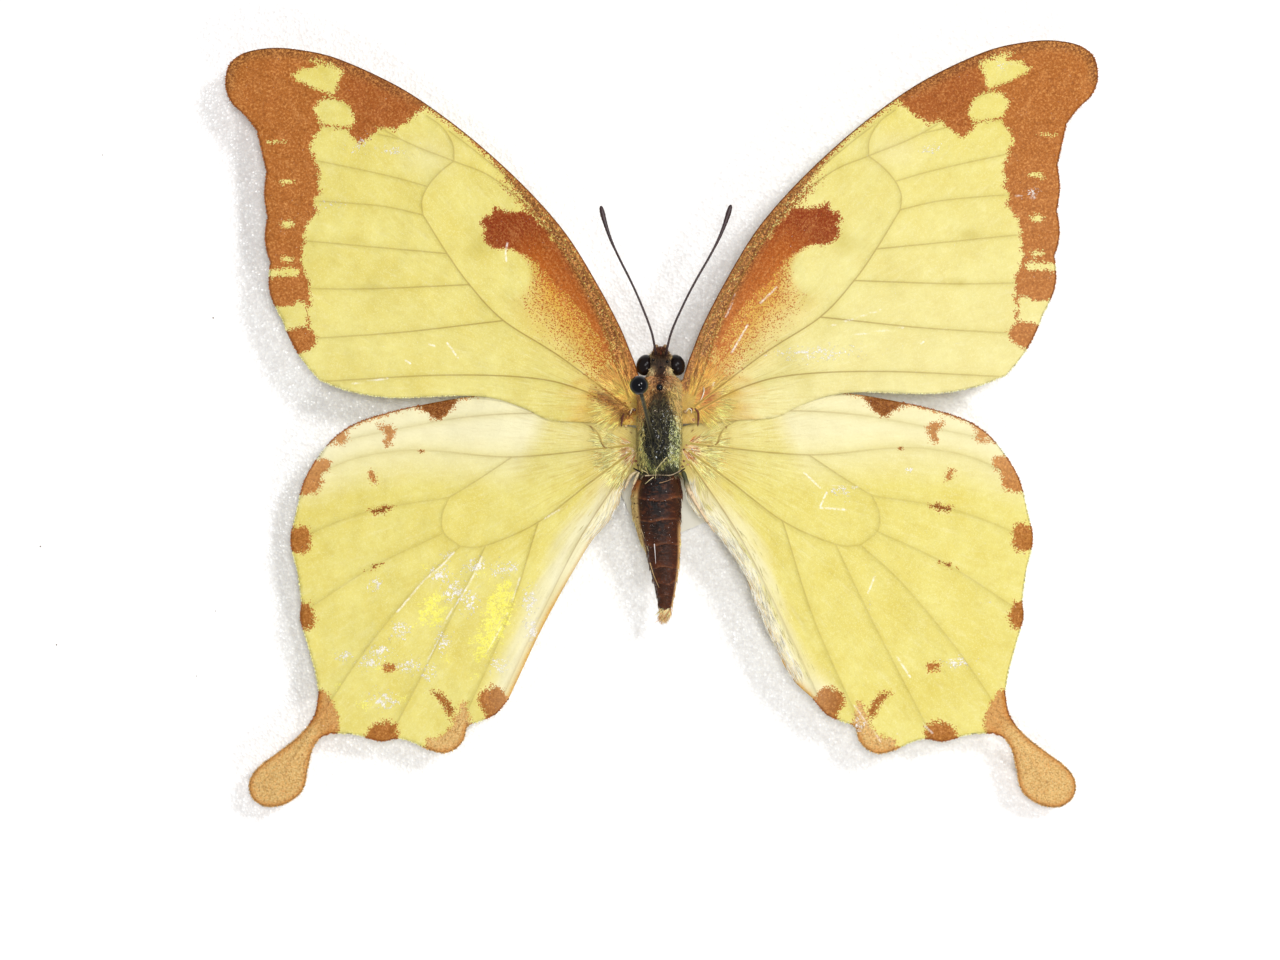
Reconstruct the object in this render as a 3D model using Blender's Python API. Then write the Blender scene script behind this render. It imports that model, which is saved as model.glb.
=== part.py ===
"""Noble swallowtail, a spread and pinned specimen on a slab of white foam.

The butterfly lies flat with its head towards +Y and its upper side towards +Z.
A bead-headed pin leans through the thorax and through a blank card label into the foam.
The origin is at the bottom centre of the foam slab. Units are metres.
"""
import math

import bmesh
import bpy
from mathutils import Matrix, Vector
from mathutils.geometry import delaunay_2d_cdt

MM = 0.001

# Foam slab, and where the specimen's middle stands on it
FOAM_LENGTH = 140 * MM
FOAM_WIDTH = 108 * MM
FOAM_HEIGHT = 10 * MM
FOAM_EDGE = 0.6 * MM
SPECIMEN_AT = Vector((2.27 * MM, 5.89 * MM, FOAM_HEIGHT))

# Gap kept between the faces of pieces that meet
GAP = 0.3 * MM

# Body lengths are in millimetres from the specimen's middle, heights from the foam.
# A section is (Y along the body, X of its centre, half width, underside, back).
ROUNDNESS = 2.25
HEAD_X = -0.14
HEAD_SECTIONS = (
    (4.90, HEAD_X, 1.45, 6.25, 8.70), (5.60, HEAD_X, 1.72, 6.00, 9.00), (6.50, HEAD_X, 1.70, 5.90, 9.05),
    (6.95, HEAD_X, 1.38, 6.10, 8.85), (7.25, HEAD_X, 0.60, 6.85, 8.20),
)
THORAX_SECTIONS = (
    (4.60, -0.12, 1.70, 5.40, 9.00), (3.90, -0.12, 2.10, 4.50, 9.75), (2.40, -0.10, 2.50, 3.75, 10.35),
    (-0.40, -0.08, 2.55, 3.50, 10.60), (-3.00, -0.06, 2.40, 3.65, 10.10), (-5.20, -0.06, 2.05, 4.30, 8.80),
)
ABDOMEN_SECTIONS = (
    (-5.50, -0.40, 2.20, 4.40, 8.60), (-7.00, -0.50, 2.58, 4.10, 8.80), (-9.00, -0.58, 2.56, 4.00, 8.50),
    (-11.5, -0.30, 2.20, 3.95, 7.80), (-13.3, 0.04, 1.82, 3.90, 7.30), (-15.3, 0.24, 1.44, 3.85, 6.75),
    (-17.4, 0.36, 0.98, 3.90, 6.10), (-19.1, 0.34, 0.62, 4.20, 5.50), (-19.9, 0.34, 0.25, 4.55, 5.00),
)
SEGMENTS = 8
SEGMENT_SWELL = 0.045

# Scale lobes of the thorax that cover the wing roots
TEGULA_AT = (2.30, 1.20, 9.42)
TEGULA_RADII = (1.50, 1.95, 0.60)
TEGULA_TILT = 14

# Eyes, antennae and palps: X is measured from the middle of the head, to either side
EYE_AT = (1.58, 5.92, 7.55)
EYE_RADII = (0.94, 1.00, 1.15)
EYE_BACK = 1.04

ANTENNA_ROUTE = (
    (0.51, 6.90, 9.25), (0.62, 7.70, 9.75), (1.03, 9.50, 10.1), (2.15, 12.4, 10.2), (3.20, 14.7, 10.0),
    (4.25, 16.8, 9.6), (5.15, 18.8, 9.2), (5.75, 20.6, 9.0), (6.15, 22.2, 8.9),
)
ANTENNA_RADII = (0.26, 0.25, 0.25, 0.25, 0.25, 0.26, 0.30, 0.42, 0.25)
# Turn in degrees about the root, and size, of each antenna
ANTENNA_SET = {"left": (0.0, 1.0), "right": (-3.2, 1.03)}

PALP_ROUTE = ((0.42, 7.20, 6.15), (0.46, 7.62, 6.60), (0.46, 7.72, 7.30), (0.42, 7.68, 8.05))
PALP_RADII = (0.28, 0.31, 0.28, 0.15)

COIL_AT = (-0.1, 7.00, 4.35)
COIL_RADIUS = 1.30
COIL_PITCH = 0.85
COIL_TURNS = 1.35
PROBOSCIS_RADII = (0.18, 0.25)

# Leg routes on the +X side: hip, trochanter, knee, ankle, a bend of the foot and the claws
LEG_ROUTES = {
    "front": ((1.00, 3.30, 3.55), (1.35, 3.90, 3.00), (3.60, 4.90, 4.20), (5.60, 2.60, 2.95),
              (6.60, 1.60, 2.45), (7.40, 0.60, 2.15)),
    "mid": ((1.15, 0.60, 3.15), (1.65, 0.30, 2.65), (4.60, 1.50, 4.10), (6.40, -1.30, 2.90),
            (7.30, -2.40, 2.45), (8.10, -3.50, 2.15)),
    "hind": ((1.00, -2.30, 3.20), (1.50, -2.80, 2.70), (5.20, -3.70, 4.10), (8.00, -6.60, 2.90),
             (9.30, -8.10, 2.45), (10.4, -9.50, 2.15)),
}
LEG_RADII = (0.46, 0.40, 0.32, 0.28, 0.26, 0.20)

# Wings. Outlines and veins are on the +X side, in millimetres from the specimen's middle.
MEMBRANE = 0.5
VEIN_RISE = 0.2
VEIN_UNDER = 0.1
VEIN_HALF = 0.34
WING_STEP = 1.7
WING_GRID = 3.6
FOREWING_LEVEL = 7.85
HINDWING_LEVEL = 6.65
DROOP_SIDE = 2.6
DROOP_REAR = 1.0
HALF_SPAN = 45.0
REAR_REACH = 40.0

FOREWING_COSTA = (
    (1.4, 5.1), (3.0, 5.4), (3.15, 6.3), (3.4, 7.4), (4.3, 9.8), (6.4, 13.8), (9.5, 18.9), (12.9, 23.0),
    (17.2, 27.2), (21.9, 31.1), (27.1, 34.6), (33.3, 37.5), (37.4, 38.5), (40.5, 38.7), (43.2, 38.2),
    (44.7, 37.0), (45.1, 35.0), (44.5, 33.2), (43.0, 31.7), (41.8, 30.2),
)
FOREWING_NOTCHES = ((41.8, 30.2), (40.8, 25.9), (40.7, 21.2), (40.4, 16.6), (39.2, 10.7), (35.3, 4.4))
FOREWING_LOBE_RISE = (0.0, 0.06, 0.09, 0.11, 0.06)
FOREWING_REAR = (
    (35.3, 4.4), (32.3, 3.3), (27.9, 2.6), (21.1, 2.8), (17.3, 2.5), (14.0, 1.4), (11.6, 0.3),
    (7.4, 0.0), (4.4, -0.2), (1.4, -0.3),
)
HINDWING_FRONT = (
    (1.4, -0.9), (4.5, 0.0), (9.0, 1.6), (14.0, 2.9), (19.0, 2.8), (25.0, 1.8), (29.1, 0.8),
    (32.2, -0.4), (34.5, -2.3), (36.8, -5.8), (37.8, -9.6), (38.3, -12.2), (37.6, -15.4),
    (37.2, -18.4), (37.3, -20.2), (36.5, -23.0), (35.8, -25.6), (35.4, -27.8),
)
HINDWING_TAIL = (
    (35.4, -27.8), (35.9, -30.2), (37.4, -32.2), (39.5, -33.9), (41.5, -35.4), (42.6, -36.9),
    (42.5, -38.5), (41.4, -39.5), (39.7, -39.6), (38.0, -38.8), (37.0, -37.6), (36.6, -35.6),
    (36.1, -33.7), (35.3, -32.5), (34.2, -32.0),
)
HINDWING_LOBES = (
    (34.2, -32.0), (31.7, -32.1), (29.1, -32.8), (27.3, -32.5), (25.7, -32.9), (24.2, -33.6),
    (22.5, -34.0), (21.2, -33.5), (20.4, -32.5), (20.0, -31.2), (18.5, -30.6), (17.1, -29.9), (15.8, -28.4),
)
HINDWING_REAR = {
    "left": ((15.8, -28.4), (14.3, -25.2), (12.6, -21.6), (10.7, -18.0), (8.7, -14.5), (7.2, -12.1),
             (5.4, -10.0), (4.4, -8.2), (4.1, -6.9), (3.4, -5.6), (1.4, -4.9)),
    "right": ((15.8, -28.4), (13.6, -26.2), (11.6, -22.4), (9.8, -18.3), (8.9, -15.8), (7.0, -12.8),
              (4.9, -10.3), (3.8, -9.4), (2.9, -7.6), (2.6, -5.8), (1.4, -4.9)),
}
FOREWING_VEINS = {
    "subcosta": ((3.6, 5.0), (4.4, 8.4), (6.6, 13.2), (9.8, 18.3), (14.4, 23.8), (18.9, 27.7), (21.9, 30.0)),
    "radius": ((3.4, 2.6), (5.0, 6.8), (5.9, 9.8), (9.3, 16.4), (13.5, 21.9), (17.6, 25.3), (21.4, 26.9)),
    "cell_end": ((21.4, 26.9), (24.1, 24.3), (24.6, 21.4)),
    "cubitus": ((3.4, 1.5), (10.5, 6.8), (16.3, 10.5), (19.8, 14.2), (22.1, 17.4), (24.6, 21.4)),
    "radius_3": ((21.4, 26.9), (21.5, 28.6), (23.6, 31.2), (27.4, 33.9)),
    "radius_4": ((21.4, 26.9), (26.9, 29.2), (34.1, 33.5), (42.6, 36.6)),
    "radius_5": ((26.9, 29.2), (33.5, 30.5), (41.3, 30.3)),
    "media_1": ((24.1, 24.3), (28.9, 25.6), (40.7, 28.1)),
    "media_2": ((24.6, 21.4), (29.6, 22.4), (40.5, 23.2)),
    "media_3": ((22.1, 17.4), (37.1, 18.8), (40.5, 19.1)),
    "cubitus_1": ((19.8, 14.2), (30.0, 13.8), (39.8, 13.9)),
    "cubitus_2": ((16.3, 10.5), (27.0, 9.3), (37.7, 8.6)),
    "anal": ((3.4, 0.9), (8.4, 3.4), (13.5, 4.6), (22.3, 4.9), (34.6, 4.9)),
}
HINDWING_VEINS = {
    "subcosta": ((5.9, -2.6), (7.3, -0.4), (12.0, 0.9), (20.0, 0.6), (28.0, -0.8), (33.2, -1.9)),
    "radius": ((3.4, -2.3), (5.9, -2.6), (15.4, -3.5), (24.9, -2.8), (31.0, -3.5), (36.0, -5.4)),
    "cell_front": ((15.4, -3.5), (19.0, -5.9), (21.9, -7.7)),
    "media_1": ((21.9, -7.7), (27.9, -8.6), (32.3, -9.8), (37.7, -12.0)),
    "cell_end": ((21.9, -7.7), (22.4, -11.3), (20.7, -12.7)),
    "media_2": ((22.4, -11.3), (29.7, -14.8), (36.8, -19.4)),
    "cubitus": ((3.4, -3.2), (7.1, -5.9), (12.7, -10.2), (18.1, -12.6), (20.7, -12.7)),
    "media_3": ((20.7, -12.7), (24.9, -16.6), (30.6, -23.5), (35.0, -30.0), (38.9, -36.0)),
    "cubitus_1": ((18.1, -12.6), (21.9, -20.5), (27.8, -32.0)),
    "cubitus_2": ((12.7, -10.2), (16.0, -20.5), (20.9, -31.6)),
    "anal": ((3.4, -4.3), (8.6, -12.2), (13.6, -22.2), (16.3, -28.0)),
}
# Each wing's own setting: turn in degrees and size about its root, then a shift in millimetres
FOREWING_SET = {"left": (0.0, 1.0, (0.0, 0.0)), "right": (0.53, 1.007, (-0.03, 0.17))}
HINDWING_SET = {"left": (0.0, 1.003, (0.0, 0.0)), "right": (0.23, 1.013, (-0.45, 0.20))}
WING_PIVOT = Vector((3.0, 0.0))

# Pin: where it enters the back, how it leans, and its reach to either side of that point
PIN_ENTRY = (-0.93, -1.78, 10.4)
PIN_LEAN = 20.0
PIN_HEADING = 15.3
PIN_ABOVE = 15.9 * MM
PIN_BELOW = 19.2 * MM
PIN_RADIUS = 0.26 * MM
PIN_POINT = 1.2 * MM
BEAD_RADIUS = 0.9 * MM
BEAD_FLAT = 0.78 * MM

# Blank card label under the body, held by the pin
LABEL_WIDTH = 9.8 * MM
LABEL_LENGTH = 13.2 * MM
LABEL_THICK = 0.5 * MM
LABEL_LOW = 0.95 * MM
LABEL_AT = (0.09, -5.0)
LABEL_TURN = 23.6

SIDES = {"left": -1, "right": 1}


def clear_scene():
    """Remove every object of the starting scene."""
    for item in list(bpy.data.objects):
        bpy.data.objects.remove(item)


def material(name, colour, roughness, metallic=0.0):
    """A plain Principled BSDF material."""
    surface = bpy.data.materials.new(name)
    surface.use_nodes = True
    shader = surface.node_tree.nodes["Principled BSDF"]
    shader.inputs["Base Color"].default_value = (*colour, 1.0)
    shader.inputs["Roughness"].default_value = roughness
    shader.inputs["Metallic"].default_value = metallic
    return surface


def place(x, y, z):
    """A point given in millimetres from the specimen's middle on the foam, in metres."""
    return SPECIMEN_AT + Vector((x, y, z)) * MM


def add_object(name, bm, surface):
    """Make an object from a bmesh, faces out, and shade it smooth up to sharp edges."""
    bmesh.ops.recalc_face_normals(bm, faces=bm.faces)
    mesh = bpy.data.meshes.new(name)
    bm.to_mesh(mesh)
    bm.free()
    mesh.shade_smooth()
    mesh.set_sharp_from_angle(angle=math.radians(40))
    if surface:
        mesh.materials.append(surface)
    item = bpy.data.objects.new(name, mesh)
    bpy.context.collection.objects.link(item)
    return item


def guide(item):
    """Mark an object as a cutter or a joined-in piece, not a part of the model."""
    item.hide_render = True
    item.display_type = "WIRE"
    return item


def catmull_rom(before, start, end, after, t):
    """The Catmull-Rom curve between start and end at t from 0 to 1."""
    return 0.5 * (2 * start + (end - before) * t + (2 * before - 5 * start + 4 * end - after) * t ** 2
                  + (3 * start - before - 3 * end + after) * t ** 3)


def smooth(points, step):
    """Points about a step apart on a smooth curve through the given points, ends included."""
    knots = [Vector(point) for point in points]
    padded = [2 * knots[0] - knots[1]] + knots + [2 * knots[-1] - knots[-2]]
    line = []
    for before, start, end, after in zip(padded, padded[1:], padded[2:], padded[3:]):
        count = max(1, round((end - start).length / step))
        line += [catmull_rom(before, start, end, after, i / count) for i in range(count)]
    return line + [knots[-1]]


def interpolate(sections, y):
    """Centre, half width, underside and back of a body at Y, read smoothly between its sections."""
    rising = sorted(sections)
    y = min(max(y, rising[0][0]), rising[-1][0])
    padded = [rising[0]] + rising + [rising[-1]]
    for before, start, end, after in zip(padded, padded[1:], padded[2:], padded[3:]):
        if y <= end[0]:
            t = (y - start[0]) / (end[0] - start[0])
            return [catmull_rom(*values, t) for values in zip(before[1:], start[1:], end[1:], after[1:])]
    return list(rising[-1][1:])


def body_side(sections, y, z, side):
    """How far a body stands out from X = 0 to one side, at Y and at height z."""
    centre, half, low, high = interpolate(sections, y)
    lift = min(abs(2 * z - low - high) / (high - low), 1.0)
    return side * centre + half * (1 - lift ** ROUNDNESS) ** (1 / ROUNDNESS)


def body_ring(sections, y, sides, swell=1.0):
    """One rounded-square cross-section of a body as points in metres."""
    centre, half, low, high = interpolate(sections, y)
    power = 2 / ROUNDNESS
    ring = []
    for i in range(sides):
        angle = 2 * math.pi * i / sides
        across = math.copysign(abs(math.cos(angle)) ** power, math.cos(angle))
        up = math.copysign(abs(math.sin(angle)) ** power, math.sin(angle))
        ring.append(place(centre + swell * half * across, y, (low + high) / 2 + swell * (high - low) / 2 * up))
    return ring


def skin_rings(bm, rings):
    """Join rings of points with faces and close both ends with flat caps."""
    loops = [[bm.verts.new(point) for point in ring] for ring in rings]
    count = len(loops[0])
    for near, far in zip(loops, loops[1:]):
        for i in range(count):
            j = (i + 1) % count
            bm.faces.new((near[i], near[j], far[j], far[i]))
    bm.faces.new(loops[0])
    bm.faces.new(loops[-1])


def lofted_body(name, sections, rings, sides, surface, swell=lambda t: 1.0):
    """A closed body through its sections, with a flat cap at each end."""
    rising = sorted(sections)
    first, last = rising[0][0], rising[-1][0]
    bm = bmesh.new()
    stations = [i / (rings - 1) for i in range(rings)]
    skin_rings(bm, [body_ring(sections, first + (last - first) * t, sides, swell(t)) for t in stations])
    return add_object(name, bm, surface)


def tube_rings(route, radii, sides):
    """Rings square to a route, carried along it without twist; radii run evenly along it."""
    tangents = [(b - a).normalized() for a, b in zip([route[0]] + route[:-1], route[1:] + [route[-1]])]
    side = tangents[0].orthogonal().normalized()
    rings = []
    for i, (point, tangent) in enumerate(zip(route, tangents)):
        side = (side - tangent * side.dot(tangent)).normalized()
        other = tangent.cross(side)
        spot = i / (len(route) - 1) * (len(radii) - 1)
        low = min(int(spot), len(radii) - 2)
        radius = radii[low] + (radii[low + 1] - radii[low]) * (spot - low)
        angles = [2 * math.pi * k / sides for k in range(sides)]
        rings.append([point + radius * (math.cos(a) * side + math.sin(a) * other) for a in angles])
    return rings


def tube(name, route, radii, sides, surface):
    """A closed round tube along a route of points in metres."""
    bm = bmesh.new()
    skin_rings(bm, tube_rings(route, radii, sides))
    return add_object(name, bm, surface)


def ellipsoid(name, centre, radii, surface, segments=20, rings=12):
    """A closed ellipsoid with its poles along Z, sizes in millimetres."""
    bm = bmesh.new()
    bmesh.ops.create_uvsphere(bm, u_segments=segments, v_segments=rings, radius=1.0)
    bmesh.ops.transform(bm, matrix=Matrix.Diagonal((*(r * MM for r in radii), 1.0)), verts=bm.verts)
    bmesh.ops.translate(bm, vec=place(*centre), verts=bm.verts)
    return add_object(name, bm, surface)


def box(name, low, high, surface):
    """A closed box between two corners in metres."""
    bm = bmesh.new()
    bmesh.ops.create_cube(bm, size=1.0)
    low, high = Vector(low), Vector(high)
    for vert in bm.verts:
        vert.co = (low + high) / 2 + Vector(c * s for c, s in zip(vert.co, high - low))
    return add_object(name, bm, surface)


def apply_modifiers(item):
    """Put the evaluated shape of an object into its own mesh."""
    shape = bpy.data.meshes.new_from_object(item.evaluated_get(bpy.context.evaluated_depsgraph_get()))
    item.modifiers.clear()
    item.data = shape


def keep_largest(item):
    """Keep only the largest closed surface of an object."""
    bm = bmesh.new()
    bm.from_mesh(item.data)
    left = set(bm.faces)
    shells = []
    while left:
        shell, edge_of = set(), [left.pop()]
        while edge_of:
            face = edge_of.pop()
            shell.add(face)
            near = {other for edge in face.edges for other in edge.link_faces} & left
            left -= near
            edge_of += near
        shells.append(shell)
    shells.sort(key=lambda shell: sum(face.calc_area() for face in shell))
    loose = [face for shell in shells[:-1] for face in shell]
    bmesh.ops.delete(bm, geom=loose, context="FACES")
    bm.to_mesh(item.data)
    bm.free()


def combine(item, others, operation):
    """Join pieces to an object, or cut them out of it, in one Boolean that is applied."""
    group = bpy.data.collections.new(item.name + "_" + operation.lower())
    for other in others:
        group.objects.link(guide(other))
    change = item.modifiers.new(operation.title(), "BOOLEAN")
    change.operation = operation
    change.operand_type = "COLLECTION"
    change.collection = group
    change.solver = "EXACT"
    bpy.context.view_layer.update()
    apply_modifiers(item)
    for other in list(group.objects):
        bpy.data.objects.remove(other)
    bpy.data.collections.remove(group)
    keep_largest(item)


def pin_axis():
    """The pin's entry point and its unit direction, up towards the bead."""
    lean, heading = math.radians(PIN_LEAN), math.radians(PIN_HEADING)
    along = Vector((-math.sin(lean) * math.sin(heading), math.sin(lean) * math.cos(heading), math.cos(lean)))
    return place(*PIN_ENTRY), along


def pin_bore(name, low, high):
    """A cutter round the pin with the gap, between two distances along it from its entry point."""
    entry, along = pin_axis()
    return tube(name, [entry + along * low, entry + along * high], [PIN_RADIUS + GAP] * 2, 14, None)


def wing_height(x, y):
    """How far the set wings have sunk at a point, in millimetres below their root."""
    return DROOP_SIDE * (abs(x) / HALF_SPAN) ** 1.7 + DROOP_REAR * max(-y / REAR_REACH, 0.0) ** 2


def set_wing(points, side, setting):
    """Set wing points on the +X side as the specimen has them, then mirror them to their side."""
    turn, size, shift = setting
    placing = Matrix.Rotation(math.radians(turn), 2) * size
    placed = [placing @ (Vector(point) - WING_PIVOT) + WING_PIVOT + Vector(shift) for point in points]
    return [Vector((side * point.x, point.y)) for point in placed]


def clear_of_body(point, level):
    """Move a wing point out to the gap beside the head, its eye, the thorax or the abdomen."""
    reach = 0.0
    side = math.copysign(1, point.x)
    for sections in (HEAD_SECTIONS, THORAX_SECTIONS, ABDOMEN_SECTIONS):
        ends = sorted(section[0] for section in sections)
        if ends[0] - 0.4 < point.y < ends[-1] + 0.4:
            reach = max(reach, body_side(sections, point.y, level, side) + GAP / MM)
    if abs(point.y - EYE_AT[1]) < EYE_RADII[1] + 0.3:
        reach = max(reach, EYE_AT[0] + side * HEAD_X + EYE_RADII[0] + GAP / MM)
    return Vector((math.copysign(max(abs(point.x), reach), point.x), point.y))


def lobed(notches, rises):
    """A scalloped margin: between two notches it bulges out by its rise times their distance."""
    line = []
    for start, end, rise in zip(notches, notches[1:], rises):
        start, end = Vector(start), Vector(end)
        chord = end - start
        outward = Vector((-chord.y, chord.x))
        count = max(2, round(chord.length / WING_STEP))
        line += [start + chord * i / count + outward * rise * math.sin(math.pi * i / count)
                 for i in range(count)]
    return line + [Vector(notches[-1])]


def distance_to_line(point, line):
    """Shortest distance from a point to a line of points."""
    best = math.inf
    for start, end in zip(line, line[1:]):
        along = end - start
        t = min(max((point - start).dot(along) / along.length_squared, 0.0), 1.0)
        best = min(best, (start + along * t - point).length)
    return best


def beside(line, offset):
    """The line shifted sideways by an offset."""
    shifted = []
    for before, point, after in zip([line[0]] + line[:-1], line, line[1:] + [line[-1]]):
        along = (after - before).normalized()
        shifted.append(point + Vector((-along.y, along.x)) * offset)
    return shifted


def inside(point, outline):
    """Whether a point lies inside a closed outline."""
    crossings = 0
    for a, b in zip(outline, outline[1:] + outline[:1]):
        if (a.y > point.y) != (b.y > point.y):
            crossings += point.x < a.x + (b.x - a.x) * (point.y - a.y) / (b.y - a.y)
    return crossings % 2 == 1


def wing(name, side, outline, veins, costa, level, setting, surface):
    """A thin wing: one triangulation for both faces, with the veins raised in them as ridges.

    The plan is a constrained triangulation of the outline, of each vein's crest and its two feet,
    and of a loose grid between them. Its height follows the droop, and the ridge falls from the
    crest to nothing at the feet.
    """
    edge = [clear_of_body(point, level) for point in set_wing(outline, side, setting)]
    edge = [point for point, last in zip(edge, edge[-1:] + edge[:-1]) if (point - last).length > 0.25]
    crests = [set_wing(smooth(vein, WING_STEP * 1.6), side, setting) for vein in veins.values()]
    front = [clear_of_body(point, level) for point in set_wing(costa, side, setting)]
    lines = []
    for crest in crests:
        feet = [beside(crest, VEIN_HALF), beside(crest, -VEIN_HALF)]
        for line in [crest] + feet:
            lines.append([point for point in line if inside(point, edge)
                          and distance_to_line(point, edge + edge[:1]) > 0.25])
    points = list(edge)
    edges = [(i, (i + 1) % len(edge)) for i in range(len(edge))]
    for line in lines:
        start = len(points)
        points += line
        edges += [(start + i, start + i + 1) for i in range(len(line) - 1)]
    low_x, high_x = min(p.x for p in edge), max(p.x for p in edge)
    low_y, high_y = min(p.y for p in edge), max(p.y for p in edge)
    for row in range(int((high_y - low_y) / WING_GRID) + 1):
        for column in range(int((high_x - low_x) / WING_GRID) + 1):
            point = Vector((low_x + (column + 0.5 * (row % 2)) * WING_GRID, low_y + row * WING_GRID))
            near = min(distance_to_line(point, line) for line in crests + [edge + edge[:1]])
            if near > WING_GRID * 0.4 and inside(point, edge):
                points.append(point)
    plan, _, faces, *_ = delaunay_2d_cdt(points, edges, [], 1, 0.03)

    def rise(point):
        """Share of the full ridge height at a plan point."""
        near = min(distance_to_line(point, line) for line in crests + [front])
        return max(0.0, 1.0 - near / (VEIN_HALF * 0.98))

    bm = bmesh.new()
    top, under = [], []
    for point in plan:
        ridge = rise(point)
        middle = level - wing_height(point.x, point.y)
        top.append(bm.verts.new(place(point.x, point.y, middle + MEMBRANE / 2 + VEIN_RISE * ridge)))
        under.append(bm.verts.new(place(point.x, point.y, middle - MEMBRANE / 2 - VEIN_UNDER * ridge)))
    uses = {}
    for face in faces:
        bm.faces.new([top[i] for i in face])
        bm.faces.new([under[i] for i in reversed(face)])
        for i, j in zip(face, face[1:] + face[:1]):
            uses.setdefault(frozenset((i, j)), []).append((i, j))
    for i, j in (pair[0] for pair in uses.values() if len(pair) == 1):
        bm.faces.new((top[j], top[i], under[i]))
        bm.faces.new((top[j], under[i], under[j]))
    loose = [vert for vert in bm.verts if not vert.link_faces]
    bmesh.ops.delete(bm, geom=loose, context="VERTS")
    return add_object(name, bm, surface)


def make_wings(yellow, pale):
    """The four wings, the forewings lying over the front of the hindwings."""
    fore_outline = smooth(FOREWING_COSTA, WING_STEP)[:-1]
    fore_outline += lobed(FOREWING_NOTCHES, FOREWING_LOBE_RISE)[:-1]
    fore_outline += smooth(FOREWING_REAR, WING_STEP)
    fore_outline += smooth((FOREWING_REAR[-1], FOREWING_COSTA[0]), 0.9)[1:-1]
    hind_margin = smooth(HINDWING_FRONT, WING_STEP)[:-1] + smooth(HINDWING_TAIL, WING_STEP * 0.7)[:-1]
    hind_margin += smooth(HINDWING_LOBES, WING_STEP)[:-1]
    fore_costa = smooth(FOREWING_COSTA[1:16], WING_STEP)
    hind_costa = smooth(HINDWING_FRONT[4:9], WING_STEP)
    for word, side in SIDES.items():
        rear = HINDWING_REAR[word]
        hind_outline = hind_margin + smooth(rear, WING_STEP)
        hind_outline += smooth((rear[-1], HINDWING_FRONT[0]), 0.9)[1:-1]
        wing("forewing_" + word, side, fore_outline, FOREWING_VEINS, fore_costa, FOREWING_LEVEL,
             FOREWING_SET[word], yellow)
        wing("hindwing_" + word, side, hind_outline, HINDWING_VEINS, hind_costa, HINDWING_LEVEL,
             HINDWING_SET[word], pale)


def slice_of_head(name, half):
    """A cutter that holds all of the head within a half width of its middle."""
    return box(name, place(HEAD_X - half, 3, 4), place(HEAD_X + half, 9, 11), None)


def make_body(hair, shell, glossy):
    """Head with sunk eyes, thorax bored for the pin, and the ringed abdomen."""
    head = lofted_body("head", HEAD_SECTIONS, 10, 22, hair)
    sockets = []
    for word, side in SIDES.items():
        centre = (HEAD_X + side * EYE_AT[0], EYE_AT[1], EYE_AT[2])
        eye = ellipsoid("eye_" + word, centre, EYE_RADII, glossy)
        combine(eye, [slice_of_head("eye_back", EYE_BACK)], "DIFFERENCE")
        hole = ellipsoid("socket_" + word, centre, [r + GAP / MM for r in EYE_RADII], None)
        combine(hole, [slice_of_head("socket_back", EYE_BACK - GAP / MM)], "DIFFERENCE")
        sockets.append(hole)
    combine(head, sockets, "DIFFERENCE")
    thorax = lofted_body("thorax", THORAX_SECTIONS, 16, 24, hair)
    lobes = []
    for side in SIDES.values():
        lobe = ellipsoid("tegula", (0, 0, 0), TEGULA_RADII, None, 14, 8)
        tilt = Matrix.Rotation(math.radians(side * TEGULA_TILT), 4, "Y")
        lobe.data.transform(Matrix.Translation(place(side * TEGULA_AT[0], *TEGULA_AT[1:])) @ tilt
                            @ Matrix.Translation(-place(0, 0, 0)))
        lobes.append(lobe)
    combine(thorax, lobes, "UNION")
    combine(thorax, [pin_bore("thorax_bore", -10 * MM, 4 * MM)], "DIFFERENCE")

    def ringed(t):
        """Swell of the abdomen: each segment is fullest before the seam that follows it."""
        return 1.0 + SEGMENT_SWELL * (abs(math.sin(math.pi * SEGMENTS * t)) - 0.5)

    lofted_body("abdomen", ABDOMEN_SECTIONS, 4 * SEGMENTS + 1, 18, shell, ringed)


def mirrored(route, side, middle=0.0):
    """A route in millimetres to one side of a middle X, in metres."""
    return [place(middle + side * point.x, point.y, point.z) for point in route]


def make_limbs(horn, hair):
    """Antennae, palps, the coiled proboscis and the six folded legs."""
    for word, side in SIDES.items():
        turn, size = ANTENNA_SET[word]
        turning = Matrix.Rotation(math.radians(turn), 3, "Z")
        root = Vector(ANTENNA_ROUTE[0])
        route = [turning @ (point - root) * size + root for point in smooth(ANTENNA_ROUTE, 0.8)]
        tube("antenna_" + word, mirrored(route, side, HEAD_X), [r * MM for r in ANTENNA_RADII], 6, horn)
        palp = mirrored(smooth(PALP_ROUTE, 0.3), side, HEAD_X)
        tube("palp_" + word, palp, [r * MM for r in PALP_RADII], 8, hair)
        for pair, joints in LEG_ROUTES.items():
            leg = smooth(joints, 0.9)
            tube("leg_%s_%s" % (pair, word), mirrored(leg, side), [r * MM for r in LEG_RADII], 6, horn)
    coil = []
    steps = 30
    for i in range(steps + 1):
        turned = COIL_TURNS * i / steps
        radius = COIL_RADIUS - COIL_PITCH * (COIL_TURNS - turned)
        angle = 2 * math.pi * (turned - COIL_TURNS) + math.pi / 2
        coil.append(place(COIL_AT[0], COIL_AT[1] - radius * math.sin(angle) * 0.95,
                          COIL_AT[2] + radius * math.cos(angle)))
    tube("proboscis", coil, [r * MM for r in PROBOSCIS_RADII], 6, horn)


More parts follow.
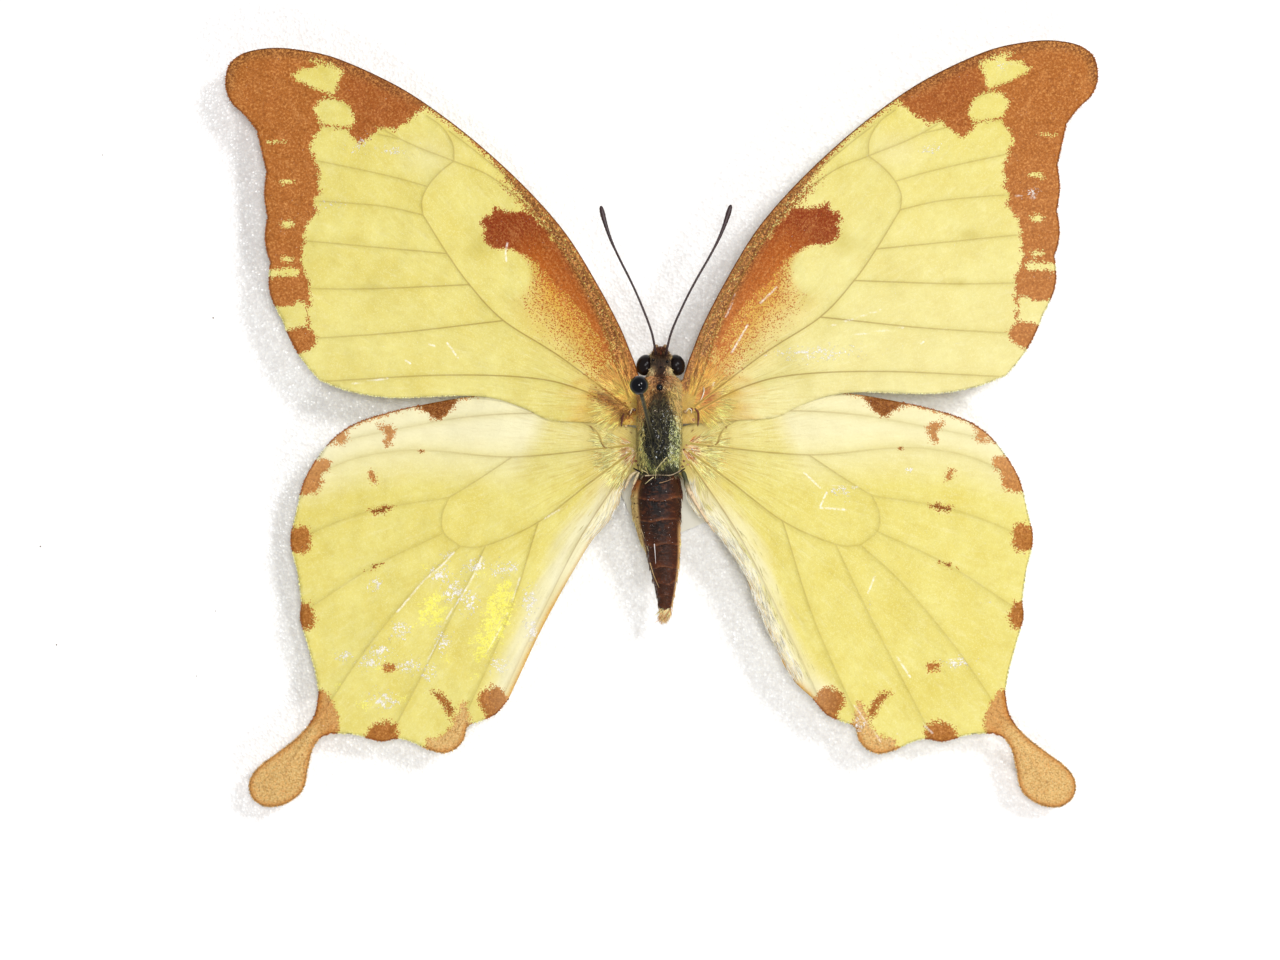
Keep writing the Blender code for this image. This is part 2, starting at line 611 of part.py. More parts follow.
def make_mount(steel, bead, card, foam):
    """The pin with its bead, the card label it carries and the foam slab it stands in."""
    entry, along = pin_axis()
    top = entry + along * (PIN_ABOVE - BEAD_FLAT - GAP)
    tip = entry - along * PIN_BELOW
    tube("pin_shaft", [top, tip + along * PIN_POINT, tip], [PIN_RADIUS, PIN_RADIUS, PIN_RADIUS * 0.25], 14,
         steel)
    bm = bmesh.new()
    bmesh.ops.create_uvsphere(bm, u_segments=20, v_segments=12, radius=BEAD_RADIUS)
    for vert in bm.verts:
        vert.co.z = max(vert.co.z, -BEAD_FLAT)
    bmesh.ops.dissolve_degenerate(bm, dist=1e-6, edges=bm.edges)
    bmesh.ops.transform(bm, matrix=along.to_track_quat("Z", "Y").to_matrix().to_4x4(), verts=bm.verts)
    bmesh.ops.translate(bm, vec=entry + along * PIN_ABOVE, verts=bm.verts)
    add_object("pin_head", bm, bead)

    half = Vector((LABEL_WIDTH / 2, LABEL_LENGTH / 2, 0))
    label = box("label", -half, half + Vector((0, 0, LABEL_THICK)), card)
    turn = Matrix.Rotation(math.radians(LABEL_TURN), 4, "Z")
    label.data.transform(Matrix.Translation(place(*LABEL_AT, LABEL_LOW / MM)) @ turn)
    combine(label, [pin_bore("label_bore", -14 * MM, -6 * MM)], "DIFFERENCE")

    corner = Vector((FOAM_LENGTH / 2, FOAM_WIDTH / 2, 0))
    slab = box("stand_base", -corner, corner + Vector((0, 0, FOAM_HEIGHT)), foam)
    bevel = slab.modifiers.new("Bevel", "BEVEL")
    bevel.width = FOAM_EDGE
    bevel.segments = 2
    apply_modifiers(slab)
    combine(slab, [pin_bore("foam_bore", -PIN_BELOW - GAP, -6 * MM)], "DIFFERENCE")


def main():
    clear_scene()
    yellow = material("wing_yellow", (0.87, 0.78, 0.24), 0.75)
    pale = material("wing_pale", (0.90, 0.84, 0.42), 0.75)
    hair = material("body_hair", (0.16, 0.12, 0.06), 0.9)
    shell = material("abdomen_shell", (0.06, 0.02, 0.012), 0.35)
    glossy = material("eye", (0.02, 0.012, 0.012), 0.15)
    horn = material("leg_horn", (0.04, 0.02, 0.015), 0.5)
    steel = material("pin_steel", (0.10, 0.10, 0.08), 0.35, 0.8)
    bead = material("pin_bead", (0.01, 0.012, 0.02), 0.1)
    card = material("card", (0.88, 0.88, 0.86), 0.85)
    foam = material("foam", (0.86, 0.86, 0.86), 0.9)
    make_wings(yellow, pale)
    make_body(hair, shell, glossy)
    make_limbs(horn, hair)
    make_mount(steel, bead, card, foam)


main()
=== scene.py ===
"""Looks of the pinned noble swallowtail: wings, furred body, limbs, pin, label and foam."""
import math

import bpy
import numpy as np
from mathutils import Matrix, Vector
from mathutils.geometry import delaunay_2d_cdt


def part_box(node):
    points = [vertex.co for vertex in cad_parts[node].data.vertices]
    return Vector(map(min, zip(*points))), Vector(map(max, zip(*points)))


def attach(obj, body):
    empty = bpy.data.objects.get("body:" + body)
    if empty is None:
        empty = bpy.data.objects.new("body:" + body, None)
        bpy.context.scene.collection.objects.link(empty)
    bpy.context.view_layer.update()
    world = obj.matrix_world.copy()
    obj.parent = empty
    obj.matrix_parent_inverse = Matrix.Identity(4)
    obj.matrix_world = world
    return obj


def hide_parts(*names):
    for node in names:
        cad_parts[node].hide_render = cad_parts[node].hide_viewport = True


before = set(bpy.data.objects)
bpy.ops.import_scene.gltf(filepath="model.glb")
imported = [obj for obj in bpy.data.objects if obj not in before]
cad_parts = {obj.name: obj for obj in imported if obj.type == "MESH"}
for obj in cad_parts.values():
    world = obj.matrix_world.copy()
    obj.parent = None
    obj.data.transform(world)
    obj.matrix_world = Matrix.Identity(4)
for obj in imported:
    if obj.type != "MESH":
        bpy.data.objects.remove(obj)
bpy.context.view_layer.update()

# Foam slab: a block of white closed-cell polyethylene, knife-cut, its skin a close grain of
# shining beads with a few dark crumbs of dust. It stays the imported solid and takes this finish.
_, foam_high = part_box("stand_base")
FOAM_TOP = foam_high.z


def linear(tones):
    """Display colours of 0 to 255, a row each, as the linear ones that shaders take, with full alpha."""
    share = np.clip(tones, 0, 255) / 255
    values = np.where(share <= 0.04045, share / 12.92, ((share + 0.055) / 1.055) ** 2.4)
    return np.column_stack((values, np.ones(len(values))))


def colour(*tone):
    """One display colour as a linear one."""
    return linear([tone])[0].tolist()


class Socket:
    """An output of one of a material's nodes. Arithmetic on it adds the Math nodes that it needs."""

    def __init__(self, tree, output):
        self.tree = tree
        self.output = output

    def maths(self, operation, *values, clamp=False):
        """A Math node of one operation on sockets and numbers."""
        node = self.tree.nodes.new("ShaderNodeMath")
        node.operation = operation
        node.use_clamp = clamp
        for socket, value in zip(node.inputs, values):
            join(self.tree, socket, value)
        return Socket(self.tree, node.outputs[0])

    def __add__(self, other):
        return self.maths("ADD", self, other)

    def __radd__(self, other):
        return self.maths("ADD", other, self)

    def __sub__(self, other):
        return self.maths("SUBTRACT", self, other)

    def __rsub__(self, other):
        return self.maths("SUBTRACT", other, self)

    def __mul__(self, other):
        return self.maths("MULTIPLY", self, other)

    def __rmul__(self, other):
        return self.maths("MULTIPLY", other, self)

    def step(self, start, end):
        """0 up to start, 1 from end on, and a straight slope between them."""
        return self.maths("MULTIPLY", self - start, 1 / (end - start), clamp=True)


def join(tree, socket, value):
    """Give a node's input its value, or its link where the value is another node's socket."""
    if isinstance(value, Socket):
        tree.links.new(value.output, socket)
    else:
        socket.default_value = value


class Finish:
    """A material. What is the same all over is set on its shader; the rest is linked by paint()."""

    def __init__(self, name, **fixed):
        self.material = bpy.data.materials.new(name)
        self.material.use_nodes = True
        self.tree = self.material.node_tree
        self.shader = self.tree.nodes["Principled BSDF"]
        for socket, value in fixed.items():
            self.shader.inputs[socket.replace("_", " ")].default_value = value

    def node(self, kind, settings, values, output=0):
        """Add a node: its settings first, then the values or links of its sockets."""
        node = self.tree.nodes.new("ShaderNode" + kind)
        for setting, value in settings.items():
            setattr(node, setting, value)
        for socket, value in values.items():
            join(self.tree, node.inputs[socket], value)
        return Socket(self.tree, node.outputs[output])

    def place(self):
        """Place on the piece, in metres."""
        return self.node("TexCoord", {}, {}, "Object")

    def field(self, name):
        """A number that the piece's mesh holds at each point."""
        return self.node("Attribute", {"attribute_name": name}, {}, "Fac")

    def tint(self, name):
        """A colour that the piece's mesh holds at each point."""
        return self.node("Attribute", {"attribute_name": name}, {}, "Color")

    def noise(self, size, detail=2.0, rough=0.5, where=None):
        """Cloudy noise whose spots are about size metres across."""
        values = {"Vector": where or self.place(), "Scale": 1 / size, "Detail": detail, "Roughness": rough}
        return self.node("TexNoise", {}, values)

    def cells(self, size, output):
        """Irregular cells about size metres across: their Distance, or a random Color for each."""
        return self.node("TexVoronoi", {}, {"Vector": self.place(), "Scale": 1 / size}, output)

    def split(self, tone, output):
        """One channel of a colour, as a number."""
        return self.node("SeparateColor", {}, {"Color": tone}, output)

    def mix(self, first, second, share):
        """The second colour over the first by its share. A plain one is a display colour."""
        first, second = (tone if isinstance(tone, Socket) else colour(*tone) for tone in (first, second))
        return self.node("Mix", {"data_type": "RGBA"}, {0: share, 6: first, 7: second}, 2)

    def layers(self, base, *coats):
        """A base with colours laid over it in turn, each by its own share."""
        for tone, share in coats:
            base = self.mix(base, tone, share)
        return base

    def bump(self, height, depth, under=None):
        """Relief of a depth in metres, over another relief if there is one."""
        values = {"Height": height, "Strength": 1.0, "Distance": depth}
        if under:
            values["Normal"] = under
        return self.node("Bump", {}, values)

    def paint(self, **links):
        """Link sockets to the shader's inputs."""
        for socket, value in links.items():
            join(self.tree, self.shader.inputs[socket.replace("_", " ")], value)
        return self.material


def foam_finish():
    """White foam: bead facets with a little sparkle, and rare dark crumbs."""
    foam = Finish("foam_beads", Roughness=0.5)
    bead = foam.cells(0.00032, "Color")
    grain = foam.split(bead, "Red")
    crumb = foam.cells(0.0034, "Distance")
    chosen = foam.split(foam.cells(0.0034, "Color"), "Green")
    dust = (1 - crumb.step(0.022, 0.034)) * chosen.step(0.90, 0.91)
    white = foam.mix((243, 241, 240), (255, 255, 255), grain)
    white = foam.mix(white, (120, 105, 95), dust)
    hollow = foam.cells(0.00032, "Distance")
    relief = foam.bump(hollow, 0.00006)
    relief = foam.bump(foam.noise(0.0009, 3.0), 0.00005, relief)
    return foam.paint(Base_Color=white, Roughness=0.55 - grain * 0.35, Normal=relief)


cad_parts["stand_base"].data.materials[0] = foam_finish()

# Label: a cut slip of bare white card, 0.5 mm thick, pierced by the pin and held up on it under
# the body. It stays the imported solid, with the faint cloud and fibre of paper.


def card_finish():
    """White card: a soft cloud of pulp with fine fibres."""
    card = Finish("label_card", Roughness=0.85)
    cloud = card.noise(0.0016, 4.0, 0.6)
    fibre = card.noise(0.00012, 3.0, 0.7)
    white = card.mix((252, 249, 236), (255, 254, 244), cloud)
    return card.paint(Base_Color=white, Normal=card.bump(fibre, 0.00003))


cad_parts["label"].data.materials[0] = card_finish()

# Wings: four scaled membranes stiffened by hollow veins, spread and dried flat. The forewings lie
# over the front of the hindwings. Outlines and veins are in millimetres from the specimen's middle,
# on the right-hand side, and each wing is then turned to its own setting and mirrored to its side.
MIDDLE = np.array((2.27, 5.89, FOAM_TOP * 1000))
MEMBRANE = 0.11
VEIN_RISE = 0.08
VEIN_HALF = 0.17
LINE_HALF = 0.07
VEIN_STEP = 0.45
SPACING = 0.36
EDGE_STEP = 0.30
EDGE_CLEAR = 0.12
SWELL_RISE = 0.14
SWELL_REACH = 1.3
SWELL_RIM = 1.5
ROOT_STOUT = 1.2
ROOT_FADE = 7
SCRATCH_GAP = 0.4
ROW_SHARE = 0.866
FILL_CLEAR = 0.45
CREST_CLEAR = 0.4
MERGE = 0.004
DROOP_SIDE = 2.6
DROOP_SPAN = 45
DROOP_POWER = 1.7
DROOP_REAR = 1.0
DROOP_CHORD = 40
COVER_REAR = -5.0
COVER_DEPTH = 5.5
COVER_OUT = 24
COVER_FADE = 8
BILLOWS = ((0.10, 9, 3), (0.035, 2.6, 8))
WING_PIVOT = np.array((3.0, 0.0))
SIDES = {"left": -1, "right": 1}

FOREWING = {
    "level": 7.85,
    "touch": -0.15,
    "front": (
        (1.4, 3.9), (2.1, 4.1), (2.4, 4.9), (2.75, 6.0), (3.3, 7.4), (4.3, 9.8), (6.4, 13.8), (9.5, 18.9),
        (12.9, 23.0), (17.2, 27.2), (21.9, 31.1), (27.1, 34.6), (33.3, 37.5), (37.4, 38.5), (40.5, 38.7),
        (43.2, 38.2), (44.7, 37.0), (45.1, 35.0), (44.5, 33.2), (43.0, 31.7), (41.8, 30.2),
    ),
    "lobes": ((41.8, 30.2), (40.8, 25.9), (40.7, 21.2), (40.4, 16.6), (39.2, 10.7), (35.3, 4.4)),
    "lobe_rise": (0.0, 0.06, 0.09, 0.11, 0.06),
    "rear": (
        (35.3, 4.4), (32.3, 3.3), (27.9, 2.6), (21.1, 2.8), (17.3, 2.5), (14.0, 1.4), (11.6, 0.3),
        (7.4, 0.0), (4.4, -0.2), (1.4, -0.3),
    ),
    "set": {"left": (0.0, 1.0, (0.0, 0.0)), "right": (0.53, 1.007, (-0.03, 0.17))},
    "veins": {
        "subcosta": (
            (3.6, 5.0), (4.4, 8.4), (6.6, 13.2), (9.8, 18.3), (14.4, 23.8), (18.9, 27.7), (21.9, 30.0),
        ),
        "radius": ((3.4, 2.6), (5.0, 6.8), (5.9, 9.8), (9.3, 16.4), (13.5, 21.9), (17.6, 25.3), (21.4, 26.9)),
        "cell_end": ((21.4, 26.9), (22.9, 25.7), (24.1, 24.3), (24.7, 22.9), (24.6, 21.4)),
        "cubitus": ((3.4, 1.5), (10.5, 6.8), (16.3, 10.5), (19.8, 14.2), (22.1, 17.4), (24.6, 21.4)),
        "radius_3": ((21.4, 26.9), (21.5, 28.6), (22.6, 30.4), (24.2, 31.6)),
        "radius_4": ((21.4, 26.9), (26.9, 29.2), (34.1, 33.5), (42.6, 36.6)),
        "radius_5": ((26.9, 29.2), (33.5, 30.5), (41.3, 30.3)),
        "media_1": ((24.1, 24.3), (28.9, 25.6), (40.7, 28.1)),
        "media_2": ((24.6, 21.4), (29.6, 22.4), (40.5, 23.2)),
        "media_3": ((22.1, 17.4), (37.1, 18.8), (40.5, 19.1)),
        "cubitus_1": ((19.8, 14.2), (30.0, 13.8), (39.8, 13.9)),
        "cubitus_2": ((16.3, 10.5), (27.0, 9.3), (37.7, 8.6)),
        "anal": ((3.4, 0.9), (8.4, 3.4), (13.5, 4.6), (22.3, 4.9), (34.6, 4.3)),
    },
}
HINDWING = {
    "level": 6.65,
    "touch": 0.70,
    "front": (
        (1.4, -0.9), (4.5, 0.0), (9.0, 1.6), (14.0, 2.9), (19.0, 2.8), (25.0, 1.8), (29.1, 0.8),
        (32.2, -0.4), (34.5, -2.3), (36.8, -5.8), (37.8, -9.6), (38.3, -12.2), (37.6, -15.4),
        (37.2, -18.4), (37.3, -20.2), (36.5, -23.0), (35.8, -25.6), (35.4, -27.8),
    ),
    "tail": (
        (35.4, -27.8), (35.9, -30.2), (37.4, -32.2), (39.5, -33.9), (41.5, -35.4), (42.6, -36.9),
        (42.5, -38.5), (41.4, -39.5), (39.7, -39.6), (38.0, -38.8), (37.0, -37.6), (36.6, -35.6),
        (36.1, -33.7), (35.3, -32.5), (34.2, -32.0),
    ),
    "scallops": (
        (34.2, -32.0), (31.7, -32.1), (29.1, -32.8), (27.3, -32.5), (25.7, -32.9), (24.2, -33.6),
        (22.5, -34.0), (21.2, -33.5), (20.4, -32.5), (20.0, -31.2), (18.5, -30.6), (17.1, -29.9),
        (15.8, -28.4),
    ),
    "rear": {
        "left": ((15.8, -28.4), (14.3, -25.2), (12.6, -21.6), (10.7, -18.0), (8.7, -14.5), (7.2, -12.1),
                 (5.4, -10.0), (4.4, -8.2), (4.1, -6.9), (3.4, -5.6), (1.4, -4.9)),
        "right": ((15.8, -28.4), (13.6, -26.2), (11.6, -22.4), (9.8, -18.3), (8.9, -15.8), (7.0, -12.8),
                  (4.9, -10.3), (3.8, -9.4), (2.9, -7.6), (2.6, -5.8), (1.4, -4.9)),
    },
    "set": {"left": (0.0, 1.003, (0.0, 0.0)), "right": (0.23, 1.013, (-0.45, 0.20))},
    "veins": {
        "subcosta": ((5.9, -2.6), (7.3, -0.4), (12.0, 0.9), (20.0, 0.6), (28.0, -0.8), (33.2, -1.9)),
        "radius": ((3.4, -2.3), (5.9, -2.6), (15.4, -3.5), (24.9, -2.8), (31.0, -3.5), (36.0, -5.4)),
        "cell_front": ((15.4, -3.5), (19.0, -5.9), (21.9, -7.7)),
        "media_1": ((21.9, -7.7), (27.9, -8.6), (32.3, -9.8), (37.7, -12.0)),
        "cell_end": ((21.9, -7.7), (22.6, -9.5), (22.4, -11.3), (20.7, -12.7)),
        "media_2": ((22.4, -11.3), (29.7, -14.8), (36.8, -19.4)),
        "cubitus": ((3.4, -3.2), (7.1, -5.9), (12.7, -10.2), (18.1, -12.6), (20.7, -12.7)),
        "media_3": ((20.7, -12.7), (24.9, -16.6), (30.6, -23.5), (35.0, -30.0), (38.9, -36.0)),
        "cubitus_1": ((18.1, -12.6), (21.9, -20.5), (27.8, -32.0)),
        "cubitus_2": ((12.7, -10.2), (16.0, -20.5), (20.9, -31.6)),
        "anal": ((3.4, -4.3), (8.6, -12.2), (13.6, -22.2), (16.3, -28.0)),
    },
}


def curve(points, step):
    """Catmull-Rom curve through the points, read again at even lengths about a step apart."""
    knots = np.asarray(points, float)
    padded = np.vstack((2 * knots[0] - knots[1], knots, 2 * knots[-1] - knots[-2]))
    along = np.linspace(0, len(knots) - 1, 30 * (len(knots) - 1) + 1)
    first = np.minimum(along.astype(int), len(knots) - 2)
    t = (along - first)[:, None]
    a, b, c, d = (padded[first + k] for k in range(4))
    line = 0.5 * (2 * b + (c - a) * t + (2 * a - 5 * b + 4 * c - d) * t**2 + (3 * b - a - 3 * c + d) * t**3)
    length = np.append(0, np.cumsum(np.linalg.norm(np.diff(line, axis=0), axis=1)))
    even = np.linspace(0, length[-1], max(2, round(length[-1] / step) + 1))
    return np.column_stack([np.interp(even, length, column) for column in line.T])


def distance(points, line):
    """Distance of every point to a line: the least of those to its stretches, each clamped to its ends."""
    best = np.full(len(points), np.inf)
    for start, along in zip(line[:-1], np.diff(line, axis=0)):
        offset = points - start
        share = np.clip(offset @ along / max(along @ along, 1e-9), 0, 1)
        best = np.minimum(best, np.linalg.norm(offset - share[:, None] * along, axis=1))
    return best


def bell(away, wide):
    """1 where a distance is 0, falling to near 0 at twice the width."""
    return np.exp(-((away / wide) ** 2))


def nearest(points, knots, step=0.3):
    """Distance of every point to the nearest of several curves, each given by its knots."""
    return np.min([distance(points, curve(line, step)) for line in knots], axis=0)


def within(points, outline):
    """Whether each point is inside a closed outline: its ray crosses the outline an odd number of times."""
    odd = np.zeros(len(points), bool)
    x, y = points.T
    for (ax, ay), (bx, by) in zip(outline, np.roll(outline, -1, axis=0)):
        if ay != by:
            odd ^= ((ay > y) != (by > y)) & (x < ax + (bx - ax) * (y - ay) / (by - ay))
    return odd


def closed(outline):
    """An outline with its first point again at its end."""
    outline = np.asarray(outline, float)
    return np.vstack((outline, outline[:1]))


def depth_in(points, outline, smooth=True):
    """Distance of each point to the closed outline of a spot, positive inside it."""
    line = curve(closed(outline), 0.3) if smooth else closed(outline)
    away = distance(points, line)
    return np.where(within(points, line[:-1]), away, -away)


def ripple(points, length, seed):
    """Smooth noise from about -1 to 1: a sum of eight sine waves in seeded directions and lengths."""
    draw = np.random.default_rng(seed)
    waves = draw.normal(size=(8, points.shape[1]))
    waves *= (2 * np.pi / length * draw.uniform(0.6, 1.5, 8) / np.linalg.norm(waves, axis=1))[:, None]
    return np.sin(points @ waves.T + draw.uniform(0, 2 * np.pi, 8)).sum(axis=1) / 3.2


def ripples(points, waves):
    """Several ripples together, each given by its height, length and seed."""
    return sum(height * ripple(points, length, seed) for height, length, seed in waves)


def lobed(notches, rises, step):
    """A scalloped margin: between two notches it swells by half a sine wave."""
    line = []
    for start, end, rise in zip(np.array(notches), np.array(notches)[1:], rises):
        chord = end - start
        share = np.arange(0, 1, step / np.hypot(*chord))[:, None]
        line.append(start + chord * share + np.array((-chord[1], chord[0])) * rise * np.sin(np.pi * share))
    return np.vstack(line)


def wing_plan(outline, routes):
    """Flat triangulation of a wing: its outline, each route's crest, line and feet, and a hexagonal fill."""
    crests, lines = [], []
    for route in routes:
        crest = curve(route, VEIN_STEP)
        slope = np.gradient(crest, axis=0)
        across = np.column_stack((-slope[:, 1], slope[:, 0])) / np.linalg.norm(slope, axis=1)[:, None]
        for offset in (0, LINE_HALF, -LINE_HALF, VEIN_HALF, -VEIN_HALF):
            line = crest + across * offset
            keep = within(line, outline) & (distance(line, closed(outline)) > EDGE_CLEAR)
            lines.append(line[keep])
        crests.append(lines[-5])
    low, high = outline.min(axis=0), outline.max(axis=0)
    rows = np.arange(low[1], high[1], SPACING * ROW_SHARE)
    x, y = np.meshgrid(np.arange(low[0], high[0], SPACING), rows)
    x = x + np.where(np.arange(len(rows)) % 2, SPACING / 2, 0)[:, None]
    fill = np.column_stack((x.ravel(), y.ravel()))
    fill = fill[within(fill, outline)]
    clear = distance(fill, closed(outline)) > SPACING * FILL_CLEAR
    for line in crests:
        clear &= distance(fill, line) > VEIN_HALF + SPACING * CREST_CLEAR
    points, edges = [outline], [(i, (i + 1) % len(outline)) for i in range(len(outline))]
    count = len(outline)
    for line in lines:
        edges += [(count + i, count + i + 1) for i in range(len(line) - 1)]
        points.append(line)
        count += len(line)
    points = np.vstack(points + [fill[clear]])
    plan, _, faces, *_ = delaunay_2d_cdt([Vector(p) for p in points.tolist()], edges, [], 1, MERGE)
    return np.array([tuple(p) for p in plan]), np.array(faces)


def make_piece(name, points, faces, finish, nodes=(), fields=None, tints=None, patches=None):
    """Make a piece from points in millimetres from the specimen's middle and arrays of faces.

    Faces are turned to point outwards by the sign of the volume that they enclose. Fields and
    tints are numbers and colours at the points, and patches are its OFBake map at the corners.
    """
    points = (points + MIDDLE) * 0.001
    corners = np.concatenate([face.ravel() for face in faces])
    sizes = np.concatenate([np.full(len(face), face.shape[1]) for face in faces])
    volume = sum(np.einsum("ij,ij->i", points[face[:, 0]] - points[0],
                           np.cross(points[face[:, i]] - points[0], points[face[:, i + 1]] - points[0])).sum()
                 for face in faces for i in range(1, face.shape[1] - 1))
    if volume < 0:
        corners = np.concatenate([face[:, ::-1].ravel() for face in faces])
    mesh = bpy.data.meshes.new(name)
    mesh.vertices.add(len(points))
    mesh.vertices.foreach_set("co", points.ravel())
    mesh.loops.add(len(corners))
    mesh.loops.foreach_set("vertex_index", corners)
    mesh.polygons.add(len(sizes))
    mesh.polygons.foreach_set("loop_start", np.append(0, np.cumsum(sizes)[:-1]))
    mesh.update(calc_edges=True)
    mesh.shade_smooth()
    for field, values in (fields or {}).items():
        mesh.attributes.new(field, "FLOAT", "POINT").data.foreach_set("value", values.astype(np.float32))
    for tint, values in (tints or {}).items():
        mesh.attributes.new(tint, "FLOAT_COLOR", "POINT").data.foreach_set("color", values.ravel())
    if patches is not None:
        mesh.uv_layers.new(name="OFBake").data.foreach_set("uv", patches[corners].ravel())
    mesh.materials.append(finish)
    piece = bpy.data.objects.new(name, mesh)
    bpy.context.collection.objects.link(piece)
    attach(piece, "root")
    if nodes:
        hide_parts(*nodes)


def wing_drop(x, y):
    """How far the set wing has sunk below its root: more towards the tip and the rear."""
    side = DROOP_SIDE * (np.abs(x) / DROOP_SPAN) ** DROOP_POWER
    return side + DROOP_REAR * np.clip(-y / DROOP_CHORD, 0, None) ** 2


def turned(points, angle):
    """Points or headings turned anticlockwise about Z, by one angle or by one each."""
    x, y = points[:, 0], points[:, 1]
    cosine, sine = np.cos(angle), np.sin(angle)
    return np.column_stack((x * cosine - y * sine, x * sine + y * cosine, points[:, 2:]))


def set_wing(plan, shape, word):
    """Plan points turned, sized and shifted to a wing's own setting, and the height that they sink to.

    The membrane billows in low ripples, and the hindwing rises to touch the forewing that covers it.
    """
    turn, size, shift = shape["set"][word]
    placed = size * turned(plan - WING_PIVOT, math.radians(turn)) + WING_PIVOT + shift
    x, y = plan.T
    covered = np.clip((y - COVER_REAR) / COVER_DEPTH, 0, 1) * np.clip((COVER_OUT - x) / COVER_FADE, 0, 1)
    touch = shape["touch"] * covered * np.clip((x - 1) / 4, 0.8, 1)
    return placed, shape["level"] - wing_drop(*placed.T) + touch + ripples(plan, BILLOWS)


def swelling(vein, rim):
    """Height of a wing over its setting, at distances from its nearest vein and from its rim."""
    return SWELL_RISE * bell(vein, SWELL_REACH) * np.clip(rim / SWELL_RIM, 0.2, 1)


def make_wing(name, word, shape, outline, marks, scratches, finish):
    """A wing: its plan lifted to the droop, billowed between the veins and ridged along them.

    The ridge falls as a cosine from the crest to the feet, and the membrane thins towards its edge.
    """
    veins = list(shape["veins"].values())
    crests = np.vstack([curve(vein, 0.2) for vein in veins])
    gaps = [np.linalg.norm(curve(route, 0.2)[:, None] - crests, axis=2).min() for route in scratches]
    clear = [route for route, gap in zip(scratches, gaps) if gap > SCRATCH_GAP]
    plan, triangles = wing_plan(outline, veins + clear)
    rim = distance(plan, closed(outline))
    vein = nearest(plan, veins, VEIN_STEP)
    side = SIDES[word]
    fields = marks(plan, rim, vein, word)
    placed, level = set_wing(plan, shape, word)
    stout = 1 + ROOT_STOUT * np.exp(-np.hypot(*(plan - WING_PIVOT).T) / ROOT_FADE)
    ridge = stout * VEIN_RISE * (0.5 + 0.5 * np.cos(np.pi * np.clip(vein / VEIN_HALF, 0, 1)))
    middle = level + swelling(vein, rim)
    half = MEMBRANE / 2 * np.clip(0.35 + rim / 0.5, 0, 1)
    top = np.column_stack((placed[:, 0] * side, placed[:, 1], middle + half + ridge))
    under = np.column_stack((placed[:, 0] * side, placed[:, 1], middle - half - 0.6 * ridge))
    count = len(plan)
    order = np.vstack((triangles[:, (0, 1)], triangles[:, (1, 2)], triangles[:, (2, 0)]))
    _, first, uses = np.unique(np.sort(order, axis=1), axis=0, return_index=True, return_counts=True)
    edge = order[first[uses == 1]]
    wall = np.column_stack((edge[:, 1], edge[:, 0], edge[:, 0] + count, edge[:, 1] + count))
    faces = [triangles, triangles[:, ::-1] + count, wall]
    used = np.unique(np.concatenate((triangles.ravel(), triangles.ravel() + count)))
    renumber = np.zeros(2 * count, int)
    renumber[used] = np.arange(len(used))
    points = np.vstack((top, under))[used]
    fields = {key: np.tile(values, 2)[used] for key, values in fields.items()}
    make_piece(name, points, [renumber[face] for face in faces], finish, (name,), fields)


# The forewing's pattern: a brown apex and outer band holding two yellow spots and three small
# ones, a brown block at the hind corner, and a red-brown patch in the cell that frays towards the
# root into orange flecks on amber. The scales are worn off in a few scratches.
FORE_BAND = (
    (46.2, 41.1), (33.3, 39.6), (29.1, 37.5), (26.0, 34.9), (24.0, 32.5), (25.4, 31.7), (26.3, 30.9),
    (27.5, 30.1), (28.4, 30.5), (29.2, 30.3), (29.7, 29.8), (30.3, 29.2), (31.0, 28.7), (31.6, 29.1),
    (32.1, 29.7), (32.5, 30.3), (33.9, 30.5), (35.1, 30.7), (35.4, 30.0), (36.1, 29.1), (36.3, 28.2),
    (35.8, 27.1), (35.3, 26.0), (35.4, 24.9), (35.3, 23.8), (35.9, 22.7), (35.5, 21.8), (35.9, 21.3),
    (36.7, 20.5), (36.9, 19.3), (37.0, 18.2), (37.2, 16.3), (36.8, 15.6), (36.5, 14.7), (36.3, 13.4),
    (36.3, 12.4), (37.1, 12.5), (37.7, 12.4), (38.3, 12.0), (39.7, 12.0), (41.3, 12.1), (46.2, 12.7),
)
FORE_BLOCK = (
    (39.8, 9.4), (38.6, 9.5), (37.5, 9.9), (36.4, 9.9), (36.0, 9.3), (35.6, 8.6), (36.0, 7.7), (37.0, 7.1),
    (38.4, 7.0), (39.8, 7.6),
)
FORE_BRIDGE = ((36.3, 12.4), (36.7, 11.5), (36.4, 10.4), (36.8, 9.8))
FORE_HOLES = (
    ((38.2, 35.9), (37.4, 36.4), (36.4, 36.6), (35.5, 36.8), (36.5, 37.6), (35.1, 37.4), (33.9, 36.9),
     (33.2, 36.5), (32.8, 36.2), (33.2, 35.4), (33.6, 34.3), (33.8, 33.7), (34.9, 34.0), (36.2, 34.6),
     (37.4, 35.4)),
    ((35.9, 32.5), (34.9, 33.3), (33.6, 33.3), (32.7, 33.0), (32.1, 32.4), (31.7, 31.4), (31.8, 30.8),
     (32.3, 30.4), (33.7, 30.6), (35.1, 30.8), (35.5, 31.5)),
    ((40.6, 15.7), (39.4, 15.9), (37.7, 16.0), (37.4, 15.6), (37.8, 15.2), (39.4, 15.2), (40.6, 15.1)),
)
FORE_FLECKS = (
    (39.9, 29.0, 0.5, 0.15), (38.9, 24.9, 0.6, 0.2), (38.6, 20.5, 0.62, 0.36), (38.6, 16.9, 0.55, 0.24),
)
